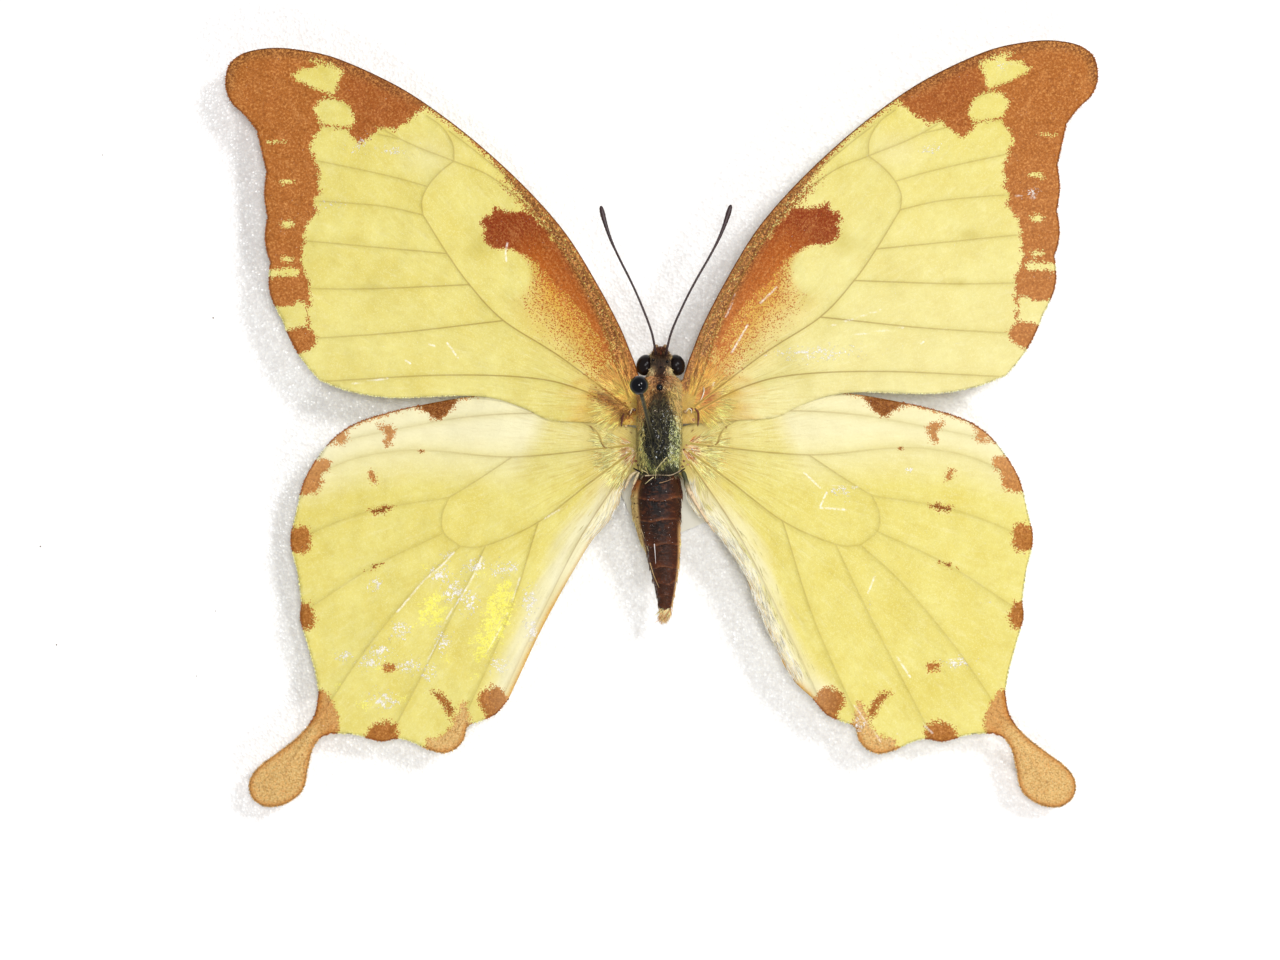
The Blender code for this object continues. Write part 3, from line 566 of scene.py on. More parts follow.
FORE_CELL = (
    (17.2, 22.2), (16.3, 21.8), (15.1, 21.6), (14.2, 21.8), (13.2, 21.4), (11.5, 19.4), (9.6, 17.0),
    (8.5, 15.3), (7.0, 12.9), (6.1, 10.1), (5.5, 7.5), (5.8, 6.9), (6.3, 8.1), (7.4, 10.1), (8.7, 11.9),
    (9.9, 13.1), (11.4, 14.5), (12.5, 16.0), (13.2, 16.7), (14.1, 17.0), (15.5, 17.8), (16.4, 17.8),
    (17.4, 18.0), (18.2, 18.6), (18.4, 19.3), (18.1, 19.9), (18.7, 20.4), (18.4, 21.2), (17.5, 21.4),
)
FORE_FRAY = (
    (14.0, 17.3), (12.0, 17.6), (7.0, 11.0), (5.2, 7.0), (4.6, 3.4), (6.2, 3.9), (9.5, 6.4), (12.4, 8.8),
    (14.3, 11.2), (14.6, 12.6), (13.9, 13.4), (13.4, 14.6), (13.4, 16.0),
)
FORE_STRIP = ((2, 6, 10, 14, 17, 20, 24, 28, 36), (1.9, 1.7, 1.5, 1.15, 0.5, 0.22, 0.35, 1.0, 0.9))
FORE_ROUND = (16.0, 15.3, 2.55)
FORE_ROOT = (2.0, 1.5)
FORE_SWIRL = ((6.1, 2.7), (5.1, 2.3), (4.2, 1.7), (3.4, 0.8))
FORE_RAGGED = ((0.10, 1.1, 5), (0.05, 0.5, 6))
FAR = 9.0
FORE_SCRATCHES = {
    "left": (((15.9, 18.5), (16.1, 17.4), (16.0, 16.6)), ((24.0, 8.1), (23.4, 7.9)),
             ((22.1, 8.2), (21.0, 6.7)), ((32.0, 4.0), (28.1, 4.6)), ((26.4, 6.4), (25.9, 6.1))),
    "right": (((36.4, 22.8), (38.5, 22.5)), ((38.1, 23.6), (38.4, 22.7)), ((11.9, 13.6), (10.2, 12.0)),
              ((8.9, 9.8), (7.2, 6.9)), ((6.4, 3.2), (5.6, 2.4)), ((7.8, 13.2), (6.5, 10.2)),
              ((17.4, 9.6), (22.6, 11.2)), ((5.4, 3.9), (5.1, 3.4)), ((19.6, 8.6), (24.9, 9.4)),
              ((26.9, 7.9), (26.6, 7.7))),
}
FORE_WORN = {
    "left": ((31.6, 28.3, 1.2, 0.5), (27.6, 28.0, 1.6, 0.6), (33.8, 22.7, 1.0, 0.5), (31.0, 28.9, 0.8, 0.7)),
    "right": ((35.1, 36.1, 0.6, 0.6), (27.9, 27.7, 1.3, 0.7), (38.2, 23.1, 0.9, 0.6), (15.5, 6.8, 4.5, 1.0)),
}


def spot(points, x, y, wide, high):
    """1 in the middle of an ellipse, falling as a bell to near 0 at twice its half sizes."""
    return np.exp(-(((points[:, 0] - x) / wide) ** 2 + ((points[:, 1] - y) / high) ** 2))


def fan(plan, root):
    """Each point's angle about the wing's root, in steps of a fiftieth, and its distance in steps of 3 mm."""
    x, y = (plan - root).T
    return np.arctan2(y, x) * 50, np.hypot(x, y) / 3


def share_of(depth, soft):
    """Share of scales coloured at a depth inside a spot: a half on its outline, all at a soft depth."""
    return np.clip(0.5 + 0.5 * depth / soft, 0, 1)


def lost_scales(plan, patches, share):
    """Share of the scales that are rubbed off, as the greatest of several bells."""
    return np.max([share * spot(plan, *patch) for patch in patches], axis=0)


def fore_marks(plan, rim, vein, word):
    """The forewing's fields: shares of brown, worn and pale scales, tones, and distances to lines. Part of
    the pale share is painted sheen, and part of the olive share is painted shade beside the veins.
    """
    x, y = plan.T
    ragged = ripples(plan, FORE_RAGGED)
    band = np.maximum.reduce((depth_in(plan, FORE_BAND, False), depth_in(plan, FORE_BLOCK, False),
                              0.12 - distance(plan, curve(FORE_BRIDGE, 0.3))))
    for hole in FORE_HOLES:
        band = np.minimum(band, -depth_in(plan, hole))
    for at_x, at_y, wide, high in FORE_FLECKS:
        band = np.minimum(band, (np.hypot((x - at_x) / wide, (y - at_y) / high) - 1) * high)
    cell = depth_in(plan, FORE_CELL, False)
    fray = depth_in(plan, FORE_FRAY)
    radius = distance(plan, curve(FOREWING["veins"]["radius"], 0.4))
    beside_cell = np.clip(-cell, 0, None)
    round_spot = FORE_ROUND[2] - np.hypot(x - FORE_ROUND[0], y - FORE_ROUND[1])
    flecks = 0.72 * share_of(fray, 0.9) * np.exp(-beside_cell / 2.6) * (1 - share_of(round_spot, 0.25))
    cell_share = share_of(cell + ragged, 0.22) * (1 - share_of(round_spot, 0.2))
    costa = distance(plan, curve(FOREWING["front"][2:18], 0.4))
    strip = share_of(np.interp(x, *FORE_STRIP) - costa + 0.3 * ragged, 0.35)
    grey = strip * share_of(x - 22, 2.0)
    red_edge = bell(radius, 0.5) * share_of(15.5 - x, 2.0) * share_of(y - 4.5, 1.5)
    brown = np.maximum.reduce((
        share_of(band + ragged, 0.16), cell_share, flecks, 0.93 * strip, 0.8 * red_edge))
    if word == "left":
        swirl = bell(distance(plan, curve(FORE_SWIRL, 0.3)), 0.50 + 0.12 * (x - 3.0).clip(0, 4))
        brown = np.maximum(brown, 0.97 * swirl)
        grey = np.maximum(grey, 1.8 * swirl)
    root = share_of(6.2 - np.hypot(*(plan - (2.4, 1.5)).T) + 0.8 * ripple(plan, 2.0, 7), 2.2)
    ray, reach = fan(plan, FORE_ROOT)
    # Painted sheen: both forewings are painted paler towards the rear, the right one much more, for the light
    # from the upper right that it catches.
    pale = 0.36 if word == "right" else 0.08
    return {
        "brown": brown,
        "deep": np.maximum.reduce((
            cell_share * (0.5 + 0.5 * share_of(y - 15.5, 5)), 0.5 * red_edge, 0.4 * flecks,
            0.4 * share_of(np.minimum(band, 33.7 - x), 1.2) * share_of(y - 29, 1))),
        "ashen": np.maximum(0.6 * grey, 0.9 * strip * share_of(costa - 0.2, 0.2) * share_of(22 - x, 6)),
        "tan": np.zeros(len(plan)),
        "amber": np.clip(np.maximum(1.2 * share_of(fray, 2.4) * np.exp(-beside_cell / 4.0), 0.75 * root),
                         0, 1) * (1 - share_of(round_spot, 0.3)),
        "pale": 0.25 * spot(plan, 24, 27.5, 3.0, 2.0) + pale * share_of(16 - y, 16),
        "worn": lost_scales(plan, FORE_WORN[word], 0.42),
        "lemon": np.zeros(len(plan)),
        # Olive: real smudges and a cloud near the root, and painted shade in a narrow band beside every vein.
        "olive": np.clip(0.9 * spot(plan, 18.7, 18.3, 1.3, 1.3) + 0.7 * spot(plan, 31.7, 18.9, 1.0, 0.45)
                         + 0.6 * spot(plan, 30.3, 14.0, 0.9, 0.45) + 0.3 * bell(vein, 0.4)
                         + 0.3 * ripple(plan, 5, 61) * share_of(20 - x, 6), 0, 1),
        "vein": vein + 0.2 * share_of(band, 0.3),
        "trace": 0.28 + 0.34 * share_of(8 - reach, 3),
        "ray": ray,
        "reach": reach,
        "bar": np.full(len(plan), FAR),
        "bare": nearest(plan, FORE_SCRATCHES[word]),
        "edge": np.where(costa < 0.6, costa, np.where(share_of(band, 0.4) > 0.2, rim + 0.03, FAR)),
    }


# The hindwing's pattern: a dark blotch and lighter spots along the front, five brown spots round
# the margin, fine dark dashes on the veins, two brown bars by the hind corner, and a light brown
# tail. The front and the fold beside the body are cream. The left wing is worn to bare veins.
HIND_SPOTS = (
    (1.0, ((25.2, 2.4), (24.0, 2.3), (22.7, 2.5), (21.7, 2.6), (21.0, 2.5), (21.2, 1.9), (21.9, 1.1),
           (22.5, 0.4), (23.4, 0.3), (24.0, 0.9), (24.9, 1.3), (25.6, 1.9))),
    (0.3, ((29.3, -0.1), (28.5, -0.2), (27.7, -0.4), (27.4, -0.9), (27.8, -1.8), (28.2, -2.5), (28.6, -2.1),
           (28.5, -1.1), (29.1, -0.7))),
    (0.1, ((34.2, -1.6), (33.1, -0.9), (32.3, -1.2), (32.7, -2.1), (33.3, -2.2), (34.0, -2.1))),
    (0.1, ((38.0, -7.5), (37.4, -5.5), (36.0, -3.9), (34.7, -3.7), (34.2, -4.0), (34.4, -4.9), (35.0, -5.4),
           (35.1, -6.3), (35.5, -7.1), (36.3, -7.3))),
    (0.3, ((30.2, -4.8), (29.8, -5.0), (29.3, -5.9), (29.8, -6.1), (30.2, -5.5))),
    (0.9, ((30.1, -9.0), (29.1, -8.7), (28.0, -8.5), (28.1, -9.0), (28.8, -9.3), (29.7, -9.4))),
    (0.3, ((39.0, -11.3), (37.5, -10.6), (36.6, -10.7), (36.2, -11.5), (36.3, -12.6), (36.8, -13.3),
           (37.8, -13.4), (38.8, -12.9))),
    (0.4, ((38.2, -18.9), (36.7, -18.5), (36.2, -19.1), (35.8, -20.0), (36.0, -21.0), (36.7, -21.4),
           (38.0, -21.0))),
    (0.3, ((28.9, -25.1), (28.3, -24.8), (27.5, -24.9), (27.4, -25.4), (28.0, -25.6), (28.7, -25.4))),
    (0.4, ((30.6, -32.3), (30.3, -31.6), (29.6, -31.0), (28.6, -30.7), (28.0, -30.8), (27.5, -31.1),
           (27.2, -31.6), (27.3, -32.5), (27.9, -33.2), (29.1, -33.4), (30.2, -33.0))),
    (0.6, ((23.9, -27.7), (23.1, -27.6), (22.3, -28.2), (21.6, -29.2), (21.4, -30.1), (21.7, -30.6),
           (22.1, -30.1), (22.5, -29.2), (23.2, -28.4))),
    (0.5, ((19.0, -28.6), (18.7, -27.8), (18.1, -27.4), (17.3, -27.1), (16.4, -27.5), (15.9, -28.3),
           (16.0, -29.3), (16.7, -30.6), (17.8, -31.2), (18.2, -30.4), (18.4, -29.6), (18.8, -29.2))),
)
HIND_ROOT = (2.0, -2.4)
HIND_RAGGED = ((0.12, 0.9, 15), (0.06, 0.45, 16))
HIND_TAIL_NECK = ((35.2, -27.8), (34.4, -30.6))
HIND_DASHES = (
    (30.2, -15.2, 0.24), (29.6, -14.8, 0.2), (29.0, -14.5, 0.26), (25.3, -2.8, 0.16), (24.6, -2.8, 0.16),
)
HIND_LOBE = (
    (24.6, -33.4), (24.0, -32.5), (23.1, -32.4), (22.2, -31.8), (21.4, -30.8), (21.0, -29.6), (20.5, -28.6),
    (20.1, -29.4), (19.7, -30.9), (20.0, -32.4), (21.2, -34.0), (22.5, -34.6), (24.2, -34.4),
)
HIND_TAIL = (
    (35.6, -27.6), (34.8, -27.6), (34.3, -28.4), (33.5, -29.9), (33.3, -31.2), (33.8, -32.4), (35.0, -33.5),
    (35.8, -36), (36.5, -39.0), (39.5, -41.0), (43.5, -40.0), (44.0, -36.0), (40.0, -32.5), (37.0, -30.0),
)
HIND_LEMON = (
    ((25.3, -19.3), (24.5, -17.8), (22.9, -17.3), (22.2, -18.3), (22.4, -20.4), (23.8, -21.1), (25.0, -20.6)),
    ((17.4, -16.5), (15.7, -16.2), (15.1, -17.5), (15.3, -19.3), (15.9, -21.4), (16.9, -22.9), (18.3, -24.5),
     (19.4, -24.0), (19.6, -22.4), (18.8, -20.9), (18.2, -18.8)),
)
HIND_LEMON_FLECKS = (
    (27.0, -28.4, 1.5, 0.8), (30.6, -29.0, 1.2, 0.9), (24.6, -14.9, 1.0, 0.5), (29.5, -25.2, 1.0, 0.5),
    (22.2, -24.2, 0.8, 0.8), (19.3, -26.0, 0.8, 0.6), (18.8, -15.4, 1.2, 0.5), (33.4, -27.2, 0.6, 0.8),
)
HIND_ROOT_BARS = {
    "left": (((7.5, -0.1), (6.9, -1.1), (6.1, -2.4)), ((6.1, -2.4), (5.3, -2.7), (4.4, -2.8)),
             ((5.96, -0.25), (5.14, -1.8)), ((3.8, -0.6), (3.3, -0.9), (2.8, -1.3))),
    "right": (((7.1, -0.35), (6.8, -1.3), (6.1, -2.3)), ((6.1, -2.3), (5.4, -2.6), (4.9, -2.6)),
              ((5.3, -0.58), (4.8, -2.0)), ((3.8, -0.8), (3.3, -1.2))),
}
HIND_BARE = {
    "left": (((21.4, -13.3), (22.9, -14.9), (24.5, -16.2), (26.0, -18.0), (27.3, -19.5)),
             ((18.5, -13.7), (19.2, -15.4), (20.3, -17.3), (21.9, -19.7), (22.9, -21.9), (24.2, -24.6)),
             ((14.6, -15.9), (15.1, -17.3), (15.5, -18.5)), ((15.9, -19.5), (17.4, -22.6), (18.0, -23.7)),
             ((9.7, -8.6), (11.0, -9.2), (12.1, -9.9))),
    "right": (((22.1, -15.9), (21.4, -17.6)), ((24.4, -24.2), (25.7, -26.2)), ((32.7, -25.8), (34.0, -27.8)),
              ((29.4, -24.5), (31.0, -24.4)), ((14.9, -5.3), (16.5, -6.8)), ((17.7, -6.7), (20.5, -6.8)),
              ((17.2, -7.3), (16.5, -8.9)), ((16.5, -8.9), (19.2, -9.1)), ((26.6, -30.6), (28.0, -32.0)),
              ((19.9, -28.9), (21.2, -30.8), (22.8, -32.9))),
}
HIND_WORN = {
    "left": (
        (19.3, -14.7, 1.2, 0.9), (21.4, -17.3, 1.4, 1.6), (22.9, -15.6, 1.2, 0.9), (16.7, -15.2, 1.0, 0.8),
        (15.3, -14.9, 0.7, 0.8), (19.8, -18.3, 1.0, 1.6), (26.0, -25.0, 1.4, 0.8), (24.2, -25.7, 1.2, 0.8),
        (30.2, -24.7, 1.4, 0.8), (32.8, -24.0, 0.9, 0.7), (27.1, -21.4, 1.2, 0.9), (16.7, -25.0, 1.1, 1.0),
        (29.1, -23.5, 1.3, 0.8), (22.2, -13.6, 0.6, 0.5), (29.6, -16.7, 0.9, 0.6), (28.6, -28.6, 1.8, 1.0),
        (13.6, -18.3, 0.8, 1.6), (13.4, -21.4, 0.8, 1.5), (22.6, -22.4, 0.9, 1.5),
    ),
    "right": (
        (25.6, -5.1, 0.35, 0.35), (33.7, -18.5, 0.3, 0.3), (21.7, -18.8, 0.3, 0.3), (18.8, -7.2, 1.5, 0.5),
        (30.6, -24.8, 1.4, 0.6), (20.4, -31.0, 0.6, 0.9),
    ),
}


def hind_marks(plan, rim, vein, word):
    """The hindwing's fields, as the forewing's. Part of the olive share is painted shade beside the veins and
    along the folds of the inner margin.
    """
    x, y = plan.T
    ragged = ripples(plan, HIND_RAGGED)
    spots = [(tone, share_of(depth_in(plan, outline) + ragged, 0.24)) for tone, outline in HIND_SPOTS]
    spots += [(1.0, share_of(radius - np.hypot(x - at_x, 1.6 * (y - at_y)) + ragged, 0.12))
              for at_x, at_y, radius in HIND_DASHES]
    tail = share_of(depth_in(plan, HIND_TAIL), 0.15)
    tan = np.maximum(tail, share_of(depth_in(plan, HIND_LOBE) + ragged, 0.2))
    front = distance(plan, curve(HINDWING["front"][4:9], 0.4))
    front_line = share_of(0.2 - front, 0.12) * share_of(x - 19.2, 0.8)
    brown = np.maximum.reduce([share for _, share in spots] + [tan, 0.85 * front_line])
    rear = distance(plan, curve(HINDWING["rear"][word], 0.4))
    rear_tan = share_of(0.55 - rear, 0.5) * share_of(-16.5 - y, 1.5)
    rear_rim = share_of(0.26 - rear, 0.12) * share_of(-6.0 - y, 1.0)
    ahead = share_of(y - np.interp(x, *np.array(HINDWING["veins"]["radius"]).T) + 0.9, 3.0)
    cream_front = ahead * share_of(x - 12.4 + 0.4 * y, 1.1)
    lemon = np.zeros(len(plan))
    if word == "left":
        for outline in HIND_LEMON:
            lemon = np.maximum(lemon, share_of(depth_in(plan, outline) + 0.5 * ripple(plan, 1.3, 25), 0.7))
        lemon = np.maximum(lemon, lost_scales(plan, HIND_LEMON_FLECKS, 0.75))
    streaks = ripple(np.column_stack((rear * 3.2, y * 0.35)), 3.0, 27)
    inner = share_of(3.1 - rear + 0.045 * y + 0.35 * streaks, 1.0) * share_of(-6.0 - y, 1.5)
    ray, reach = fan(plan, HIND_ROOT)
    root = share_of(5.0 - np.hypot(*(plan - (2.4, -2.4)).T), 3.0)
    tail_neck = share_of(1.6 - distance(plan, np.array(HIND_TAIL_NECK)), 0.6)
    cream = 0.46 if word == "right" else 0.58
    return {
        "brown": brown,
        "deep": np.max([tone * share for tone, share in spots], axis=0),
        "ashen": np.zeros(len(plan)),
        "tan": tan * np.clip(1 - 0.85 * share_of(0.32 - rim, 0.2) - 0.5 * tail_neck, 0, 1),
        "amber": np.clip(0.3 * root + 0.35 * rear_tan + 0.6 * rear_rim, 0, 1),
        "pale": np.clip(cream * cream_front + 0.22 * ahead + 0.9 * inner, 0, 1),
        "worn": lost_scales(plan, HIND_WORN[word], 0.8) * np.clip(0.7 + 0.3 * ripple(plan, 0.8, 21), 0, None),
        "lemon": lemon,
        # Olive: a tint at the root, and painted shade beside the veins and along the fold lines of the inner
        # margin.
        "olive": np.clip(0.35 * bell(vein, 0.45) + 0.22 * streaks * share_of(4.5 - rear, 2.0)
                         + 0.25 * root, 0, 1),
        "vein": vein + 0.2 * tan,
        "trace": 0.13 + 0.36 * share_of(5 - reach, 2.5),
        "ray": ray,
        "reach": reach,
        "bar": nearest(plan, HIND_ROOT_BARS[word]),
        "bare": nearest(plan, HIND_BARE[word]),
        "edge": np.where(tan > 0.4, rim + 0.05, FAR),
    }


def wing_finish(name, browns, deep):
    """Wing scales: each is one small cell, coloured whole by comparing a draw with the share there.

    Streaks of painted sheen and painted shade fan out from the root along the pleats, over their relief, and
    a narrow line marks each vein.
    """
    wing = Finish(name, Roughness=0.6, Specular_IOR_Level=0.09)
    scale = wing.cells(0.0001, "Color")
    draw, other, third = (wing.split(scale, channel) for channel in ("Red", "Green", "Blue"))
    cloud = wing.noise(0.004, 3.0, 0.6).step(0.3, 0.7)
    fine = wing.noise(0.0007, 2.0, 0.6)
    clot = wing.noise(0.00034, 4.0, 0.7).step(0.36, 0.64)
    grain = wing.noise(0.00024, 2.0, 0.7)
    rays = wing.node("CombineXYZ", {}, {"X": wing.field("ray"), "Y": wing.field("reach")})
    pleat_relief_and_sheen = wing.noise(1.0, 3.0, 0.6, where=rays)
    near = 1 - wing.field("reach").step(0.8, 5.0)
    lemon = (wing.field("lemon") * 1.1 + clot * 0.9 - draw * 0.7 - 0.95).step(0.0, 0.12)
    yellow = wing.layers(
        wing.mix((220, 209, 124), (211, 195, 99), cloud),
        ((228, 220, 152), other.step(0.6, 1.0) * 0.5),
        ((203, 183, 90), fine.step(0.5, 0.8) * 0.4),
        # Pale share: cream scales, and on the forewings also a painted sheen, strongest on the right wing.
        ((234, 228, 196), wing.field("pale") * 0.94),
        (wing.mix((216, 170, 66), (190, 128, 36), third), wing.field("amber")),
        # Olive share: the wing's own olive smudges, and painted shade beside the veins and in the folds.
        ((188, 172, 84), wing.field("olive") * 0.7),
        # Painted shade and painted sheen: darker and lighter streaks along the pleats that fan from the root,
        # strongest near it.
        ((172, 136, 60), pleat_relief_and_sheen.step(0.52, 0.66) * (0.04 + 0.5 * near)),
        ((240, 235, 196), (1 - pleat_relief_and_sheen).step(0.55, 0.70) * (0.12 + 0.25 * near)),
        (wing.mix((240, 236, 128), (234, 224, 76), other), lemon * 0.85),
    )
    light = 1 - wing.field("deep")
    brown = wing.layers(
        wing.mix(*browns, other),
        (deep, wing.field("deep") * (0.6 + 0.4 * third)),
        ((196, 104, 20), wing.field("amber") * 0.5),
        (wing.mix((196, 138, 72), (84, 46, 24), third.step(0.4, 0.6)), wing.field("ashen") * 0.8),
        (wing.mix((222, 190, 128), (186, 142, 78), third), wing.field("tan")),
        # Painted sheen on the brown: lighter streaks along the pleats, with lighter scales at random.
        ((206, 142, 82), pleat_relief_and_sheen.step(0.54, 0.70) * 0.25 + other.step(0.80, 0.92) * 0.35),
        ((72, 38, 20), wing.field("ashen") * (1 - grain).step(0.46, 0.54) * 0.62),
        ((226, 162, 94), grain.step(0.54, 0.68) * (0.2 + 0.3 * light)),
        ((112, 58, 20), (1 - grain).step(0.52, 0.68) * 0.5),
        # The pale share over the brown holds the forewings' painted sheen too.
        ((230, 186, 134), wing.field("pale") * light * 0.4),
    )
    worn = (wing.field("worn") * 1.5 + clot * 0.9 - draw * 0.7 - 0.84).step(0.0, 0.12)
    bare = (1 - wing.field("bare").step(0.03, 0.15)) * clot
    tone = wing.layers(
        wing.mix(yellow, brown, (wing.field("brown") - draw * 0.94).step(0.0, 0.05)),
        (wing.mix((250, 248, 244), (214, 206, 196), third), worn * 0.88),
        ((134, 98, 42), (1 - wing.field("vein").step(0.03, 0.10)) * wing.field("trace")),
        ((118, 70, 36), (1 - wing.field("bar").step(0.04, 0.12)) * 0.75),
        ((250, 246, 236), bare * 0.85),
        ((86, 46, 24), (1 - wing.field("edge").step(0.07, 0.16)) * 0.75),
    )
    relief = wing.bump(draw, 0.000012)
    relief = wing.bump(pleat_relief_and_sheen, 0.00008, relief)
    relief = wing.bump(wing.noise(0.0012, 3.0), 0.00006, relief)
    relief = wing.bump(clot * worn, 0.00003, relief)
    return wing.paint(Base_Color=tone, Roughness=0.66 - 0.2 * third - 0.15 * bare, Normal=relief)


fore_outline = np.vstack((
    curve(FOREWING["front"], EDGE_STEP)[:-1],
    lobed(FOREWING["lobes"], FOREWING["lobe_rise"], EDGE_STEP),
    curve(FOREWING["rear"], EDGE_STEP),
    curve((FOREWING["rear"][-1], FOREWING["front"][0]), EDGE_STEP)[1:-1],
))
fore_scales = wing_finish("forewing_scales", ((176, 106, 46), (152, 86, 34)), (122, 32, 0))
hind_scales = wing_finish("hindwing_scales", ((194, 130, 60), (160, 94, 34)), (98, 48, 16))
for word in SIDES:
    hind_rear = HINDWING["rear"][word]
    hind_outline = np.vstack((
        curve(HINDWING["front"], EDGE_STEP)[:-1],
        curve(HINDWING["tail"], EDGE_STEP)[:-1],
        curve(HINDWING["scallops"], EDGE_STEP)[:-1],
        curve(hind_rear, EDGE_STEP),
        curve((hind_rear[-1], HINDWING["front"][0]), EDGE_STEP)[1:-1],
    ))
    for name, shape, outline, marks, scratches, finish in (
        ("forewing_", FOREWING, fore_outline, fore_marks, FORE_SCRATCHES, fore_scales),
        ("hindwing_", HINDWING, hind_outline, hind_marks, HIND_BARE, hind_scales),
    ):
        make_wing(name + word, word, shape, outline, marks, scratches[word], finish)

# Body: head, thorax and abdomen of dried horn, one skin from the face to the last ring. The neck and
# the waist are pinched in, the back of the abdomen is eight overlapping plates, and its left flank
# shows beside them. A section is Y along the body, X of its middle, half width, underside and back.
HEAD_X = -0.14
BODY = (
    (7.45, HEAD_X, 0.10, 7.35, 7.65), (7.36, HEAD_X, 0.42, 7.00, 8.05), (7.25, HEAD_X, 0.66, 6.85, 8.25),
    (6.95, HEAD_X, 1.08, 6.15, 8.75), (6.50, HEAD_X, 1.20, 5.90, 8.95), (5.60, HEAD_X, 1.28, 6.00, 8.95),
    (5.05, HEAD_X, 1.30, 6.20, 8.75), (4.78, HEAD_X, 1.25, 6.20, 8.60), (4.55, -0.16, 1.52, 5.50, 8.95),
    (3.90, -0.20, 1.90, 4.50, 9.70), (2.40, -0.26, 2.10, 3.75, 10.30), (-0.40, -0.28, 2.12, 3.50, 10.52),
    (-3.00, -0.28, 2.08, 3.65, 10.05), (-4.90, -0.28, 1.92, 4.20, 9.00), (-5.25, -0.32, 1.86, 4.50, 8.40),
    (-5.50, -0.35, 2.08, 4.40, 8.50), (-7.00, -0.50, 2.55, 4.10, 8.75), (-9.00, -0.58, 2.54, 4.00, 8.45),
    (-11.5, -0.30, 2.20, 3.95, 7.80), (-13.3, 0.04, 1.82, 3.90, 7.30), (-15.3, 0.24, 1.44, 3.85, 6.75),
    (-17.4, 0.36, 0.98, 3.90, 6.10), (-19.1, 0.34, 0.62, 4.20, 5.50), (-19.9, 0.34, 0.25, 4.55, 5.00),
    (-20.0, 0.34, 0.06, 4.70, 4.85),
)
ROUNDNESS = 2.25
PLATE_REARS = (-5.45, -7.95, -10.1, -12.65, -15.0, -16.6, -17.9, -19.05, -19.9)
PLATE_LIFT = 0.17
FLANK = (
    (-20, -1.2), (-14.0, -1.05), (-13.0, -0.88), (-11.5, -0.80), (-9.0, -0.72), (-6.0, -0.78), (-5.4, -1.2),
)
DORSUM = (
    (7.4, (104, 60, 38)), (6.6, (78, 62, 46)), (5.6, (76, 61, 46)), (4.9, (206, 140, 90)),
    (3.9, (206, 138, 84)), (3.2, (92, 68, 42)), (2.0, (58, 48, 34)), (0.0, (38, 35, 29)),
    (-2.5, (28, 28, 26)), (-4.4, (38, 40, 30)), (-5.15, (66, 56, 38)), (-5.6, (22, 14, 13)),
    (-8.0, (30, 18, 15)), (-12.0, (54, 32, 22)), (-17.0, (68, 40, 28)), (-19.3, (84, 50, 32)),
)
GOLD_FROM = ((-1.6, -0.8, 0.75, 2.3, 3.6), (1.4, 0.95, 0.66, 0.42, 0.18))
THORAX_ARMS = {
    "left": ((-2.1, -2.7), (-1.5, -3.9), (-0.87, -4.6)),
    "right": ((1.35, -3.2), (0.6, -3.6), (-0.2, -4.3)),
}
FLANK_GROOVE = 0.12
THORAX_GROOVE = 0.07
WAIST = -5.2
THORAX_STEP = 0.15
PLATE_STEP = 0.055
END_STATIONS = (7.45, 7.42, 7.38, 7.33, -19.94, -19.98, -20.0)
BODY_SIDES = 96
body_table = curve(BODY, 0.04)
body_table = body_table[np.argsort(body_table[:, 0])]


def plate_share(y, across):
    """Share along its plate of each Y, 0 at the plate's front and 1 at its rear edge; and 0 before them.

    The rear edges wave a little across the back.
    """
    rears = np.array(PLATE_REARS)
    y = y + 0.14 * np.sin(3.4 * across + 2.2 * y) - 0.14 * across**2
    which = np.clip(np.searchsorted(-rears, -y) - 1, 0, len(rears) - 2)
    return np.where(y < rears[0], np.clip((rears[which] - y) / (rears[which] - rears[which + 1]), 0, 1), 0.0)


def skin_at(y, around):
    """Points of the skin at Y and at an angle around, 0 on the right, a quarter turn on the back.

    The section is a superellipse; the plates of the abdomen swell towards their rear edges, and the
    thorax has a groove down its back, one on each side of it, and a seam across before its shield.
    """
    centre, half, low, high = (np.interp(y, body_table[:, 0], body_table[:, k]) for k in range(1, 5))
    power = 2 / ROUNDNESS
    across = np.sign(np.cos(around)) * np.abs(np.cos(around)) ** power
    up = np.sign(np.sin(around)) * np.abs(np.sin(around)) ** power
    size = (high - low + 2 * half) / 4
    share = plate_share(y, across)
    swell = PLATE_LIFT * (share ** 2 - 0.35) * np.clip(up + 0.45, 0.3, 1) * (y < PLATE_REARS[0])
    flank = np.interp(y, *np.array(FLANK).T)
    swell = swell - FLANK_GROOVE * bell(across - flank, 0.10) * (up > -0.3) * (flank > -1.1)
    on_thorax = np.clip((4.2 - y) / 0.6, 0, 1) * np.clip((y + 5.1) / 0.5, 0, 1)
    grooves = bell(across, 0.07) * (y < 3.0) + 0.8 * bell(np.abs(across) - 0.45, 0.08)
    seam = bell(y + 3.2 + 0.9 * across ** 2, 0.14) + bell(y - 3.3, 0.12)
    swell = swell - THORAX_GROOVE * on_thorax * np.clip(up, 0, 1) * (grooves + 1.4 * seam)
    grow = 1 + swell / size
    middle = (low + high) / 2
    return np.stack((centre + grow * half * across, y, middle + grow * (high - low) / 2 * up), axis=-1)


def over(base, *coats):
    """Display colours with others laid over them in turn, each by its share at each point."""
    for tone, share in coats:
        base = base + (np.array(tone, float) - base) * np.clip(share, 0, 1)[:, None]
    return base


def run_of_tones(places, table):
    """Display colours at places along a table of (place, colour) pairs."""
    at, tones = zip(*sorted(table))
    return np.column_stack([np.interp(places, at, column) for column in zip(*tones)])


